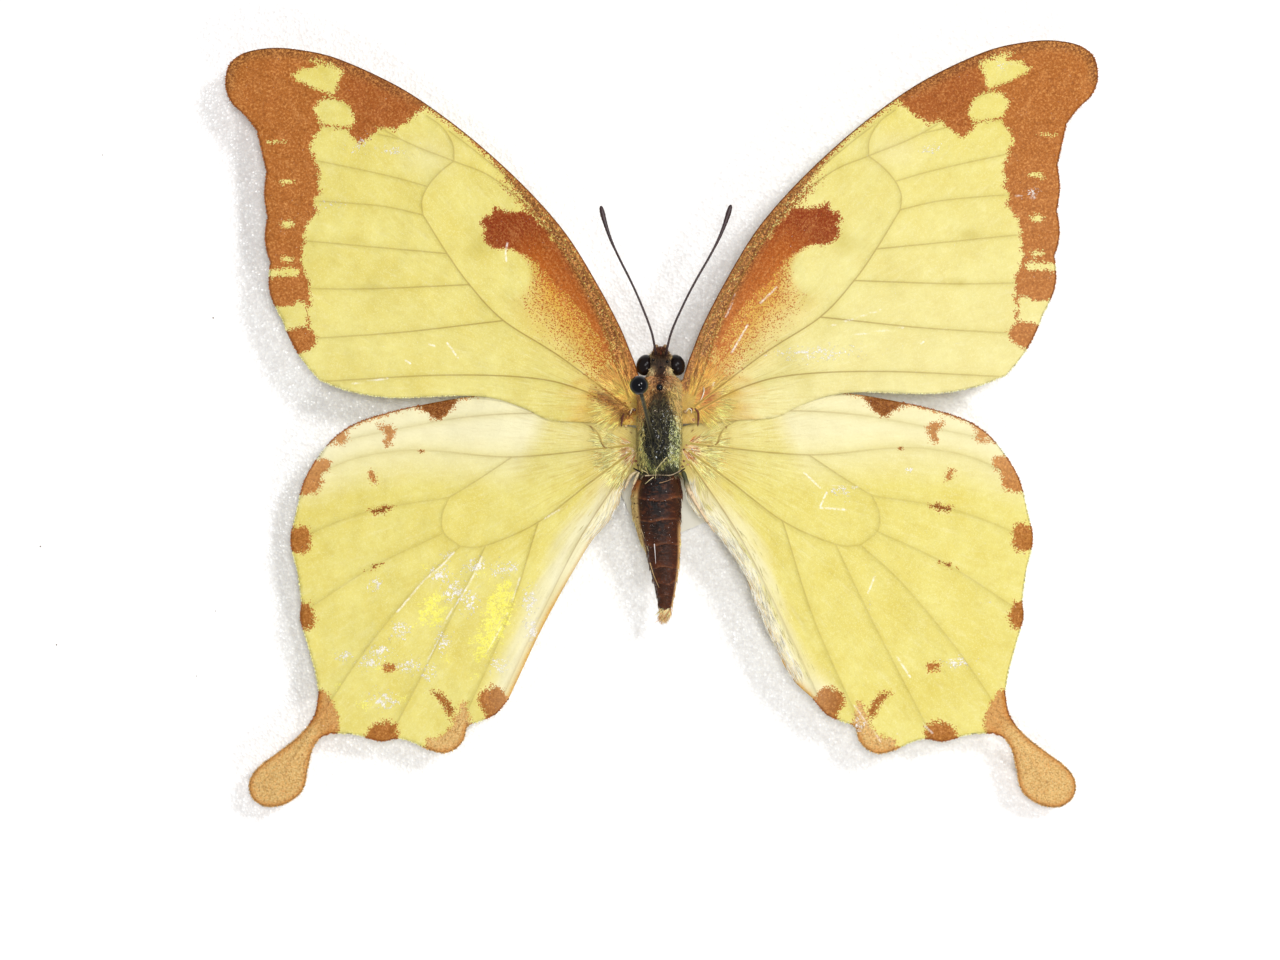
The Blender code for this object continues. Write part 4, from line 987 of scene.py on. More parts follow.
def body_tint(points, around):
    """Display colours of the body at its points: the back's run of colours with its patches over it."""
    x, y, _ = points.T
    centre, half = (np.interp(y, body_table[:, 0], body_table[:, k]) for k in (1, 2))
    across = (x - centre) / half
    off = np.abs(x - HEAD_X)
    golden = share_of(4.2 - y, 0.6) * share_of(np.abs(across) - np.interp(y, *GOLD_FROM), 0.14)
    green = share_of(y + 4.6, 0.6) * share_of(0.2 - y, 0.7)
    arms = [distance(points[:, :2], np.array(arm)) for arm in THORAX_ARMS.values()]
    abdomen = y < PLATE_REARS[0]
    share = plate_share(y, across)
    patchy = 0.5 + 0.5 * ripple(points, 0.9, 33)
    broken = share_of(ripple(points, 0.6, 34), 0.6)
    dark_middle = bell(across - 0.05, 0.4) * share_of(y + 11, 4)
    on_flank = abdomen * share_of(np.interp(y, *np.array(FLANK).T) - across, 0.05)
    below = share_of(-0.15 - np.sin(around), 0.25)
    return over(
        run_of_tones(y, DORSUM),
        ((62, 40, 30), bell(off - 0.1, 0.32) * share_of(y - 3.4, 0.3) * share_of(6.3 - y, 0.4)),
        ((214, 186, 136), 1.1 * np.exp(-(((off - 0.95) / 0.42) ** 2 + ((y - 5.45) / 0.36) ** 2))),
        ((206, 176, 120), 1.1 * np.exp(-(((off - 1.15) / 0.4) ** 2 + ((y - 6.95) / 0.3) ** 2))),
        ((190, 134, 84), share_of(y - 3.5, 0.3) * share_of(5.0 - y, 0.3) * share_of(off - 0.5, 0.3)),
        ((184, 148, 88), golden * share_of(across, 0.1)),
        ((158, 114, 66), golden * share_of(-across, 0.1)),
        ((104, 110, 70), 0.9 * green * share_of(across - 0.52, 0.22)),
        ((120, 108, 60), 0.8 * green * share_of(-across - 0.74, 0.16)),
        *(((142, 148, 84), 0.9 * share_of(0.20 - arm, 0.14)) for arm in arms),
        ((206, 186, 150), 0.8 * bell(y + 5.33, 0.07)),
        ((76, 36, 20), abdomen * 0.7 * share_of(np.abs(across + 0.05) - 0.45, 0.3)),
        ((84, 40, 22), abdomen * 0.8 * patchy * share_of(share - 0.72, 0.2)),
        ((13, 8, 8), abdomen * 0.75 * dark_middle * share_of(0.8 - share, 0.15)),
        # A lighter brown line along each plate's rear rim: partly the rim's own colour, partly a painted
        # highlight on the ridge.
        ((124, 74, 44), abdomen * (0.15 + 0.85 * broken) * share_of(share - 0.92, 0.06)),
        ((236, 186, 118), abdomen * 0.95 * share_of(across - 0.88, 0.06) * share_of(-10.3 - y, 0.6)),
        ((218, 186, 120), on_flank),
        ((160, 92, 46), on_flank * share_of(y + 7.0, 0.6)),
        ((70, 45, 28), on_flank * share_of(ripple(points, 0.42, 31) - 0.95, 0.2)),
        ((206, 184, 130), below),
        ((168, 138, 84), abdomen * below * 0.6 * share_of(share - 0.85, 0.15)),
    )


def body_skin_finish():
    """Horn with a close nap of scales: glossy on the abdomen's plates, dull elsewhere."""
    skin = Finish("body_skin", Specular_IOR_Level=0.16)
    grain = skin.noise(0.00016, 3.0, 0.65)
    scale = skin.split(skin.cells(0.00009, "Color"), "Red")
    squeezed = skin.node("Mapping", {}, {"Vector": skin.place(), "Scale": (0.35, 1.0, 0.35)})
    wrinkle = skin.noise(0.00022, 3.0, 0.6, where=squeezed)
    gloss = skin.field("gloss")
    tone = skin.layers(
        skin.tint("tone"),
        ((0, 0, 0), (0.75 - grain).step(0.0, 0.5) * 0.45),
        ((112, 60, 34), skin.noise(0.0007, 4.0, 0.7).step(0.52, 0.66) * gloss * 0.32),
        ((134, 74, 40), wrinkle.step(0.55, 0.72) * gloss * 0.28),
    )
    relief = skin.bump(scale, 0.000008)
    relief = skin.bump(grain, 0.00005, relief)
    relief = skin.bump(wrinkle * gloss, 0.00010, relief)
    return skin.paint(Base_Color=tone, Roughness=0.66 - gloss * (0.38 + 0.15 * grain), Normal=relief)


def closed_rings(rings):
    """Points and faces of a row of rings, with a fan to a point at the middle of each end."""
    count, sides, _ = rings.shape
    points = np.vstack((rings.reshape(-1, 3), rings[0].mean(axis=0), rings[-1].mean(axis=0)))
    near = np.arange(sides)
    after = (near + 1) % sides
    rows = np.arange(count - 1)[:, None] * sides
    quads = np.stack((rows + near, rows + after, rows + sides + after, rows + sides + near), axis=-1)
    last = (count - 1) * sides
    fans = np.vstack((
        np.column_stack((after, near, np.full(sides, count * sides))),
        np.column_stack((last + near, last + after, np.full(sides, count * sides + 1))),
    ))
    return points, [quads.reshape(-1, 4), fans]


def gathered(parts):
    """Several pieces of geometry as one: the points stacked and the faces renumbered."""
    points, faces, count = [], [], 0
    for part_points, part_faces in parts:
        faces += [face + count for face in part_faces]
        points.append(part_points)
        count += len(part_points)
    return np.vstack(points), faces


nose, tail_end = BODY[0][0], BODY[-1][0]
stations = np.unique(np.concatenate((
    np.arange(nose, WAIST, -THORAX_STEP), np.arange(WAIST, tail_end, -PLATE_STEP), np.array(END_STATIONS),
)))[::-1]
stations = stations[(stations <= nose) & (stations >= tail_end)]
around = np.linspace(0, 2 * np.pi, BODY_SIDES + 1)[:-1]
grid_y, grid_turn = np.meshgrid(stations, around, indexing="ij")
points, faces = closed_rings(skin_at(grid_y, grid_turn))
skin_turns = np.append(grid_turn.ravel(), (np.pi / 2, np.pi / 2))
gloss = share_of(PLATE_REARS[0] - points[:, 1], 0.2) * share_of(np.sin(skin_turns) + 0.2, 0.3)
fields = {"gloss": np.clip(gloss + 0.2, 0, 1)}
tints = {"tone": linear(body_tint(points, skin_turns))}
make_piece("body_skin", points, faces, body_skin_finish(), ("head", "thorax", "abdomen"),
           fields, tints)

# Eyes: two bulging compound eyes of glossy dark brown horn, their facets finer than the light shows.
EYE_AT = np.array((1.58, 5.92, 7.55))
EYE_RADII = np.array((0.92, 1.10, 1.15))
EYE_TURN = math.radians(16)


def eye_finish():
    """Near-black glossy horn with a faint honeycomb."""
    eye = Finish("eye_horn", Roughness=0.22, Specular_IOR_Level=0.16)
    cloud = eye.noise(0.0008, 2.0)
    facet = eye.cells(0.00004, "Distance")
    tone = eye.mix((9, 6, 7), (26, 17, 15), cloud)
    return eye.paint(Base_Color=tone, Normal=eye.bump(facet, 0.000003))


def ellipsoid(centre, radii, sides):
    """Rings of an ellipsoid about its X axis, closed at the poles."""
    polar = np.linspace(0, np.pi, sides // 2 + 1)[1:-1]
    polar, turn = np.meshgrid(polar, np.linspace(0, 2 * np.pi, sides + 1)[:-1], indexing="ij")
    ball = np.stack((np.cos(polar), np.sin(polar) * np.cos(turn), np.sin(polar) * np.sin(turn)), axis=-1)
    points, faces = closed_rings(ball)
    points[-2:] = ((1, 0, 0), (-1, 0, 0))
    return points * radii + centre, faces


eye_horn = eye_finish()
for word, side in SIDES.items():
    ball, faces = ellipsoid(np.zeros(3), EYE_RADII, 48)
    points = turned(ball, side * EYE_TURN) + (HEAD_X + side * EYE_AT[0], *EYE_AT[1:])
    make_piece("eye_" + word, points, faces, eye_horn, ("eye_" + word,))

# Antennae: thin black threads of some forty joints that thicken at the end into a brown club.
ANTENNA_ROUTE = (
    (0.51, 6.90, 8.75), (0.55, 7.20, 9.25), (0.62, 7.70, 9.75), (1.03, 9.50, 10.1), (2.15, 12.4, 10.2),
    (3.20, 14.7, 10.0), (4.25, 16.8, 9.6), (5.15, 18.8, 9.2), (5.75, 20.6, 9.0), (6.15, 22.2, 8.9),
)
ANTENNA_SET = {"left": (0.0, 1.0), "right": (-3.2, 1.03)}
ANTENNA_THICKNESS = ((0, 0.15), (0.03, 0.15), (0.05, 0.12), (0.4, 0.11), (0.72, 0.12), (0.86, 0.19),
                     (0.95, 0.27), (0.985, 0.22), (1, 0.10))
ANTENNA_JOINTS = 44


def tube(route, radii, sides=10, aside=(0.0, 0.0, 1.0)):
    """Rings square to a route: each is turned to keep one of its two axes square to a fixed direction."""
    forward = np.gradient(route, axis=0)
    forward /= np.linalg.norm(forward, axis=1)[:, None]
    first = np.cross(forward, aside)
    first /= np.linalg.norm(first, axis=1)[:, None]
    second = np.cross(forward, first)
    turn = np.linspace(0, 2 * np.pi, sides + 1)[:-1][None, :, None]
    radii = np.asarray(radii)[:, None, None]
    rings = route[:, None] + radii * (np.cos(turn) * first[:, None] + np.sin(turn) * second[:, None])
    return closed_rings(rings)


def horn_finish(name, dark, light, rough=0.4):
    """Thin dried horn, darker and lighter in clouds along it."""
    horn = Finish(name, Roughness=rough)
    cloud = horn.noise(0.0009, 3.0)
    relief = horn.bump(horn.noise(0.0001, 2.0), 0.00001)
    return horn.paint(Base_Color=horn.mix(dark, light, cloud), Normal=relief)


antenna_horn = horn_finish("antenna_horn", (24, 16, 16), (62, 34, 36), 0.45)
for word, side in SIDES.items():
    turn, size = ANTENNA_SET[word]
    root = np.array(ANTENNA_ROUTE[0])
    route = turned(curve(ANTENNA_ROUTE, 0.09) - root, math.radians(turn)) * size + root
    route[:, 0] = HEAD_X + side * route[:, 0]
    share = np.linspace(0, 1, len(route))
    radii = np.interp(share, *np.array(ANTENNA_THICKNESS).T)
    radii *= 0.95 + 0.10 * np.abs(np.sin(np.pi * ANTENNA_JOINTS * share))
    points, faces = tube(route, radii, 12)
    make_piece("antenna_" + word, points, faces, antenna_horn, ("antenna_" + word,))

# Legs: six of brown horn, reaching out under the wings: hip, thigh, shin and a foot of five joints
# that ends in a pair of claws.
LEG_ROUTES = {
    "front": ((1.00, 3.30, 3.75), (1.35, 3.90, 3.00), (3.60, 4.90, 4.20), (5.60, 2.60, 2.95),
              (6.60, 1.60, 2.45), (7.40, 0.60, 2.15)),
    "mid": ((1.15, 0.60, 3.55), (1.65, 0.30, 2.65), (4.60, 1.50, 4.10), (6.40, -1.30, 2.90),
            (7.30, -2.40, 2.45), (8.10, -3.50, 2.15)),
    "hind": ((1.00, -2.30, 3.60), (1.50, -2.80, 2.70), (5.20, -3.70, 4.10), (8.00, -6.60, 2.90),
             (9.30, -8.10, 2.45), (10.4, -9.50, 2.15)),
}
LEG_THICKNESS = (
    (0, 0.50), (0.7, 0.38), (0.95, 0.22), (1.05, 0.20), (1.3, 0.29), (1.7, 0.26), (1.93, 0.18), (2.0, 0.19),
    (2.08, 0.13), (2.5, 0.15), (2.94, 0.14), (3.02, 0.11), (4.0, 0.10), (5.0, 0.08),
)
LEG_TONES = (
    (0, (172, 140, 92)), (1.6, (150, 116, 74)), (2.0, (104, 74, 48)), (3.0, (78, 54, 38)),
    (5.0, (52, 36, 28)),
)
LEG_STEPS = 140
LEG_SIDES = 10
FOOT_FROM = 3.02
FOOT_JOINTS = 5
CLAW = ((0.0, 0.0, 0.0), (0.14, 0.10, 0.03), (0.20, 0.26, -0.06), (0.16, 0.36, -0.16))


def leg_finish():
    """Brown horn under fine pale scales."""
    leg = Finish("leg_scales", Roughness=0.55)
    speck = leg.split(leg.cells(0.00009, "Color"), "Red")
    tone = leg.mix(leg.tint("tone"), (214, 190, 146), speck.step(0.8, 0.85) * 0.5)
    return leg.paint(Base_Color=tone, Normal=leg.bump(speck, 0.000012))


leg_scales = leg_finish()
for pair, joints in LEG_ROUTES.items():
    for word, side in SIDES.items():
        knots = np.array(joints) * (side, 1, 1)
        places = np.linspace(0, len(knots) - 1, LEG_STEPS)
        straight = np.column_stack([np.interp(places, range(len(knots)), column) for column in knots.T])
        padded = np.pad(straight, ((3, 3), (0, 0)), "reflect", reflect_type="odd")
        route = sum(padded[k:k + LEG_STEPS] for k in range(7)) / 7
        radii = np.interp(places, *np.array(LEG_THICKNESS).T)
        bulges = np.abs(np.sin(np.pi * FOOT_JOINTS * (places - 3) / 2)) ** 0.5
        radii *= 1 + 0.16 * (places > FOOT_FROM) * bulges
        parts = [tube(route, radii, LEG_SIDES, (0.2, 0.1, 1.0))]
        heading = route[-1] - route[-6]
        heading /= np.linalg.norm(heading)
        aside = np.cross(heading, (0, 0, 1))
        for way in (-1, 1):
            claw = [route[-1] + way * a * aside + b * heading + (0, 0, c) for a, b, c in CLAW]
            claw = curve(claw, 0.06)
            parts.append(tube(claw, np.linspace(0.045, 0.012, len(claw)), 6, (0.1, 0.2, 1)))
        points, faces = gathered(parts)
        places = np.repeat(places, LEG_SIDES)
        places = np.append(places, np.full(len(points) - len(places), places[-1]))
        name = "leg_%s_%s" % (pair, word)
        make_piece(name, points, faces, leg_scales, (name,), None,
                   {"tone": linear(run_of_tones(places, LEG_TONES))})

# Mouth: two upturned palps pressed to the face, and the sucking tube rolled up like a watch spring.
PALP_ROUTE = (
    (0.42, 7.00, 6.10), (0.46, 7.50, 6.35), (0.48, 7.75, 6.90), (0.46, 7.82, 7.50), (0.42, 7.72, 8.05),
)
PALP_RADII = (0.20, 0.30, 0.28, 0.24, 0.08)
COIL_AT = (-0.1, 7.00, 4.35)
COIL_RADIUS = 1.30
COIL_PITCH = 0.85
COIL_TURNS = 1.35
COIL_STEPS = 150
COIL_RADII = (0.09, 0.17)
COIL_OFFSETS = (-0.07, 0.07)

palp_horn = horn_finish("palp_horn", (120, 84, 52), (176, 140, 96), 0.6)
for word, side in SIDES.items():
    route = curve(PALP_ROUTE, 0.06)
    route[:, 0] = HEAD_X + side * route[:, 0]
    radii = np.interp(np.linspace(0, 4, len(route)), range(5), PALP_RADII)
    points, faces = tube(route, radii, 16, (1.0, 0.1, 0.0))
    make_piece("palp_" + word, points, faces, palp_horn, ("palp_" + word,))
wound = np.linspace(0, COIL_TURNS, COIL_STEPS)
reach = COIL_RADIUS - COIL_PITCH * (COIL_TURNS - wound)
angle = 2 * np.pi * (wound - COIL_TURNS) + np.pi / 2
coil = np.column_stack((np.full(COIL_STEPS, COIL_AT[0]), COIL_AT[1] - reach * np.sin(angle) * 0.95,
                        COIL_AT[2] + reach * np.cos(angle)))
radii = np.linspace(*COIL_RADII, COIL_STEPS) * (1 + 0.05 * np.sin(np.arange(COIL_STEPS) * 1.9))
halves = [tube(coil + (offset, 0, 0), radii, 10, (1.0, 0.0, 0.0)) for offset in COIL_OFFSETS]
points, faces = gathered(halves)
proboscis_horn = horn_finish("proboscis_horn", (46, 28, 20), (92, 58, 36))
make_piece("proboscis", points, faces, proboscis_horn, ("proboscis",))

# Pin: a black-lacquered steel shaft under a glass bead, leant back over the head. It passes through
# the thorax, the label and the foam.
PIN_ENTRY = np.array((-0.93, -1.78, 10.4))
PIN_LEAN = math.radians(20.0)
PIN_HEADING = math.radians(15.3)
PIN_ABOVE = 15.9
PIN_BELOW = 19.2
PIN_RADIUS = 0.20
PIN_POINT = 1.2
BEAD_RADIUS = 0.95
BEAD_COLLAR = ((0.98, 0.03), (1.07, 0.005))
pin_up = np.array((-math.sin(PIN_LEAN) * math.sin(PIN_HEADING), math.sin(PIN_LEAN) * math.cos(PIN_HEADING),
                   math.cos(PIN_LEAN)))


def lathed(profile, sides):
    """A body turned about the pin's axis from (distance along it, radius) pairs."""
    first = np.cross(pin_up, (1.0, 0.0, 0.0))
    first /= np.linalg.norm(first)
    second = np.cross(pin_up, first)
    turn = np.linspace(0, 2 * np.pi, sides + 1)[:-1][None, :, None]
    along, radius = (np.array(column)[:, None, None] for column in zip(*profile))
    return closed_rings(PIN_ENTRY + along * pin_up + radius * (np.cos(turn) * first + np.sin(turn) * second))


def lacquer_finish():
    """Black lacquer worn thin to grey-green steel."""
    steel = Finish("pin_lacquer", Metallic=0.55)
    worn = steel.noise(0.0006, 4.0, 0.6).step(0.45, 0.7)
    tone = steel.mix((24, 25, 22), (66, 68, 58), worn)
    return steel.paint(Base_Color=tone, Roughness=0.42 - 0.12 * worn)


def bead_finish():
    """Black glass, blue in its depth, with a few specks of dust."""
    glass = Finish("pin_glass", Roughness=0.07, IOR=1.32)
    dust = glass.noise(0.0002, 3.0).step(0.70, 0.78)
    return glass.paint(Base_Color=glass.mix((3, 4, 10), (70, 76, 90), dust * 0.4))


shaft = ((PIN_ABOVE - 0.5, PIN_RADIUS), (PIN_ABOVE - 4.0, PIN_RADIUS), (0.0, PIN_RADIUS), (-9.0, PIN_RADIUS),
         (PIN_POINT - PIN_BELOW, PIN_RADIUS), (-PIN_BELOW, 0.01))
points, faces = lathed(shaft, 28)
make_piece("pin_shaft_fine", points, faces, lacquer_finish(), ("pin_shaft",))
polar = np.linspace(0.04, np.pi - 0.28, 32)
bead = [(PIN_ABOVE + BEAD_RADIUS * math.cos(a), BEAD_RADIUS * math.sin(a)) for a in polar]
bead += [(PIN_ABOVE - below, PIN_RADIUS + wider) for below, wider in BEAD_COLLAR]
points, faces = lathed(bead, 48)
make_piece("pin_bead_fine", points, faces, bead_finish(), ("pin_head",))

# Coat: flattened hairs and long scales, dried and matted along the body, over the head, the thorax,
# the wing roots, the flanks and the last ring. Each tuft is a closed three-sided leaf.
TUFT_PLACES = (0, 0.3, 0.6, 0.85, 1.0)
TUFT_WIDTHS = (0.55, 1.0, 0.8, 0.45, 0.0)
TUFT_CORNERS = ((0.5, -0.1), (-0.5, -0.1), (0, 0.38))
TUFT_STEPS = np.append(np.repeat(TUFT_PLACES[:4], 3), 1.0)
TUFT_SIDES = np.array((0, 1, 0.5) * 4 + (0.5,))
TUFT_POINTS = len(TUFT_STEPS)
PATCH = 0.003
EYE_BARE_X = 1.0
EYE_BARE_Y = (5.95, 0.85)
EYE_BARE_Z = (7.6, 1.2)
SUNK = 0.03
NEAR_Y = 0.08
NEAR_TURN = 0.03
AXIS = (-0.1, 7.0)
LENGTH_CHANCE = (0.6, 1.3)
WIDTH_CHANCE = (0.7, 1.3)
LIFT_CHANCE = (0.4, 1.5)
TONE_CHANCE = 0.22


def tufts(roots, normals, lies, lengths, widths, lifts, sag):
    """Closed tufts, each leaving its root at a lift from the skin and sagging back along the lie.

    At share t of its length L a tuft's middle is root + L t (cos(lift) lie + (1 - sag t) sin(lift) normal).
    It is narrow at the root, full at a third and a point at the tip.
    """
    t = np.array(TUFT_PLACES)[None, :, None]
    broad = np.array(TUFT_WIDTHS)[None, :, None]
    along = np.cos(lifts)[:, None, None] * lies[:, None]
    rise = np.sin(lifts)[:, None, None] * (1 - sag * t) * normals[:, None]
    middle = roots[:, None] + lengths[:, None, None] * t * (along + rise)
    across = np.cross(normals, lies)[:, None] * widths[:, None, None] * broad
    thick = normals[:, None] * widths[:, None, None] * broad
    corners = np.stack([middle + a * across + b * thick for a, b in TUFT_CORNERS], axis=2)
    points = np.concatenate((corners[:, :4].reshape(len(roots), 12, 3), middle[:, 4:]), axis=1)
    first = np.arange(len(roots))[:, None] * TUFT_POINTS
    ring = ((0, 1), (1, 2), (2, 0))
    quads = np.array([(k + a, k + b, k + 3 + b, k + 3 + a) for k in (0, 3, 6) for a, b in ring])
    ends = np.array([(0, 2, 1)] + [(9 + a, 9 + b, 12) for a, b in ring])
    faces = [(first[:, None] + quads).reshape(-1, 4), (first[:, None] + ends).reshape(-1, 3)]
    return points.reshape(-1, 3), faces


def coat_finish(name, dark):
    """Hair of its own colour under painted shade towards the root: black at a dark length before the root,
    none from 0.7 of its length on.
    """
    hair = Finish(name, Roughness=0.5, Specular_IOR_Level=0.3)
    return hair.paint(Base_Color=hair.mix((0, 0, 0), hair.tint("tone"), hair.field("along").step(-dark, 0.7)))


# Painted shade in the coat: deep for the dense body hair, faint for strands and the hair on the wings.
deep_root_shade_hair = coat_finish("coat_hair", 0.5)
faint_root_shade_hair = coat_finish("wing_hair", 6.0)


def make_coat(name, roots, normals, lies, lengths, widths, lifts, tones, places, sag, finish):
    """A piece of coat: tufts with a colour each, and a small patch each on a map of the skin."""
    points, faces = tufts(roots, normals, lies, lengths, widths, lifts, sag)
    along = np.tile(TUFT_STEPS, len(roots))
    patches = np.repeat(places * (1 - PATCH), TUFT_POINTS, axis=0)
    patches += PATCH * np.column_stack((along, np.tile(TUFT_SIDES, len(roots))))
    make_piece(name, points, faces, finish, (), {"along": along},
               {"tone": np.repeat(linear(tones), TUFT_POINTS, axis=0)}, patches)


def grow_on_body(name, count, reach_y, reach_turn, length, width, lift, seed, jitter=0.35, sweep=0.0, sag=0.7,
                 keep=None, ahead=False, tone=None, cover=1.0, finish=faint_root_shade_hair, lean=0.0):
    """Tufts scattered over a field of the body between two Y and two angles in degrees around it.

    They lie towards the tail, or ahead, turned by a sweep away from the middle line, by a lean to the
    right and by chance. A tone covers the skin's own by a share. None stand on the eyes.
    """
    draw = np.random.default_rng(seed)
    y = draw.uniform(*reach_y, count)
    around = np.radians(draw.uniform(*reach_turn, count))
    if keep:
        kept = keep(y, around)
        y, around = y[kept], around[kept]
    x, _, z = skin_at(y, around).T
    clear = np.abs(x - HEAD_X) < EYE_BARE_X
    clear |= (np.abs(y - EYE_BARE_Y[0]) > EYE_BARE_Y[1]) | (np.abs(z - EYE_BARE_Z[0]) > EYE_BARE_Z[1])
    y, around = y[clear], around[clear]
    count = len(y)
    roots = skin_at(y, around)
    back = skin_at(y - NEAR_Y, around) - skin_at(y + NEAR_Y, around)
    aside = skin_at(y, around + NEAR_TURN) - skin_at(y, around - NEAR_TURN)
    normals = np.cross(back, aside)
    normals /= np.linalg.norm(normals, axis=1)[:, None]
    outward = roots - np.column_stack((np.full(count, AXIS[0]), y, np.full(count, AXIS[1])))
    normals *= np.sign((normals * outward).sum(axis=1))[:, None]
    lies = (-1 if ahead else 1) * back / np.linalg.norm(back, axis=1)[:, None]
    side = np.cross(normals, lies)
    yaw = draw.normal(0, jitter, count) + sweep * np.sign(roots[:, 0]) + lean
    lies = np.cos(yaw)[:, None] * lies + np.sin(yaw)[:, None] * side
    tones = body_tint(roots, around)
    if tone:
        tones = over(tones, (tone, np.full(count, cover)))
    tones = tones * draw.normal(1.0, TONE_CHANCE, count)[:, None]
    places = np.column_stack((around / (2 * np.pi) % 1, (y - tail_end) / (nose - tail_end)))
    make_coat(name, roots - SUNK * normals, normals, lies, length * draw.uniform(*LENGTH_CHANCE, count),
              width * draw.uniform(*WIDTH_CHANCE, count),
              np.radians(lift) * draw.uniform(*LIFT_CHANCE, count), tones, places, sag, finish)


def golden_part(y, around):
    """Whether a place is in the golden hair beside the thorax's dark wedge."""
    return np.abs(np.cos(around)) > np.interp(y, *GOLD_FROM)


def on_arm(word):
    """Whether a place is on one of the two olive arms of the thorax's rear."""
    arm = np.array(THORAX_ARMS[word])
    return lambda y, around: distance(skin_at(y, around)[:, :2], arm) < 0.22


grow_on_body("hair_head", 2000, (4.9, 7.0), (-30, 210), 0.50, 0.07, 36, 41, finish=deep_root_shade_hair)
grow_on_body("hair_face", 520, (6.8, 7.42), (44, 136), 0.60, 0.08, 64, 42, sag=0.2, finish=deep_root_shade_hair)
grow_on_body("hair_chin", 1500, (4.9, 7.3), (210, 330), 0.7, 0.08, 35, 43, finish=deep_root_shade_hair)
grow_on_body("hair_peak", 120, (6.7, 7.35), (76, 104), 1.0, 0.09, 14, 56, 0.28, ahead=True,
             tone=(128, 66, 40))
grow_on_body("strands_peak", 70, (6.9, 7.38), (50, 130), 0.85, 0.07, 16, 77, 0.4, ahead=True,
             tone=(214, 168, 120), cover=0.95)
grow_on_body("hair_spikes", 34, (7.0, 7.4), (46, 134), 0.95, 0.10, 8, 68, 0.30, 0.35, ahead=True,
             tone=(150, 92, 60))
for word, brow, cheek, nape in (
    ("right", (48, 70), (24, 62), (50, 70)),
    ("left", (110, 132), (118, 156), (110, 130)),
):
    grow_on_body("hair_brow_" + word, 110, (6.6, 7.25), brow, 0.62, 0.08, 20, 57, 0.3, ahead=True,
                 tone=(206, 166, 116), cover=0.9)
    grow_on_body("hair_cheek_" + word, 240, (4.85, 5.7), cheek, 0.70, 0.08, 24, 58, 0.4, 0.5,
                 tone=(200, 180, 130), cover=0.9)
    grow_on_body("hair_nape_" + word, 90, (5.3, 5.95), nape, 0.40, 0.08, 26, 66, 0.6,
                 tone=(184, 146, 98), cover=0.9)
grow_on_body("hair_collar", 2200, (3.3, 5.1), (-20, 200), 0.7, 0.08, 30, 44, 0.6, 0.3)
grow_on_body("strands_collar", 760, (3.3, 5.0), (10, 170), 0.55, 0.09, 30, 59, 0.9, 0.4,
             tone=(238, 192, 144), cover=0.8)
grow_on_body("shades_collar", 520, (3.3, 5.0), (5, 175), 0.55, 0.09, 30, 65, 0.9, 0.4,
             tone=(104, 58, 34), cover=0.9)
grow_on_body("hair_thorax", 5200, (-5.3, 3.5), (-20, 200), 0.80, 0.075, 22, 45, 0.5, finish=deep_root_shade_hair)
grow_on_body("strands_green", 900, (-4.3, 0.9), (8, 64), 0.50, 0.08, 34, 53, 1.1, sag=0.5,
             tone=(250, 255, 172))
grow_on_body("strands_frost", 420, (-4.4, 2.2), (12, 80), 0.28, 0.10, 36, 64, 1.2, tone=(240, 240, 220))
grow_on_body("strands_olive", 900, (-4.7, 1.6), (134, 178), 0.70, 0.08, 30, 54, 0.6, tone=(228, 208, 128))
grow_on_body("strands_gold", 1700, (-1.2, 3.5), (0, 88), 0.75, 0.07, 28, 60, 0.6, 0.3, keep=golden_part,
             tone=(198, 168, 98))
grow_on_body("strands_amber", 1700, (-1.2, 4.1), (92, 180), 0.75, 0.07, 28, 61, 0.6, 0.3, keep=golden_part,
             tone=(196, 144, 86))
for word in THORAX_ARMS:
    grow_on_body("strands_arm_" + word, 6000, (-5.0, -2.4), (30, 170), 0.60, 0.06, 22, 69, 0.35,
                 keep=on_arm(word), tone=(200, 192, 116))
grow_on_body("strands_dark", 700, (-4.9, 2.8), (52, 128), 0.9, 0.055, 28, 62, 0.7, tone=(110, 104, 72),
             cover=0.9, finish=deep_root_shade_hair)
# Painted highlights: short near-white tufts over the thorax's dark back stand for its glints.
grow_on_body("painted_glints", 150, (-5.0, 1.6), (36, 128), 0.32, 0.10, 36, 63, 1.4, tone=(236, 240, 244))
for word, flank in (("right", (-16, 24)), ("left", (156, 196))):
    grow_on_body("hair_side_" + word, 900, (-4.8, 1.6), flank, 1.0, 0.06, 42, 70, 0.7, 0.9,
                 tone=(186, 168, 104), cover=0.8)
grow_on_body("hair_breast", 6500, (-5.3, 4.6), (195, 345), 1.3, 0.11, 34, 46, finish=deep_root_shade_hair)
grow_on_body("hair_flanks", 3500, (-19.6, -5.5), (150, 390), 0.5, 0.07, 16, 47,
             keep=lambda y, around: np.sin(around) < 0.35)
grow_on_body("hair_plates", 700, (-19.6, -5.5), (14, 166), 0.26, 0.04, 8, 48, finish=deep_root_shade_hair)
# Painted highlights: tiny near-white tufts on the plates stand for the glints of the glossy abdomen.
grow_on_body("painted_glints_plates", 60, (-13.0, -5.6), (50, 130), 0.12, 0.09, 8, 67, 1.4, tone=(240, 232, 226))
grow_on_body("hair_tip", 360, (-19.95, -19.1), (-10, 190), 1.05, 0.07, 10, 49, 0.30, tone=(255, 196, 136),
             lean=0.42)
for word, shoulder, seed, tone in (
    ("right", (-20, 50), 51, (218, 184, 116)),
    ("left", (130, 200), 52, (196, 144, 86)),
):
    grow_on_body("hair_shoulder_" + word, 1700, (1.2, 4.6), shoulder, 1.1, 0.06, 24, seed, 0.6, 0.8,
                 tone=tone, cover=0.8)


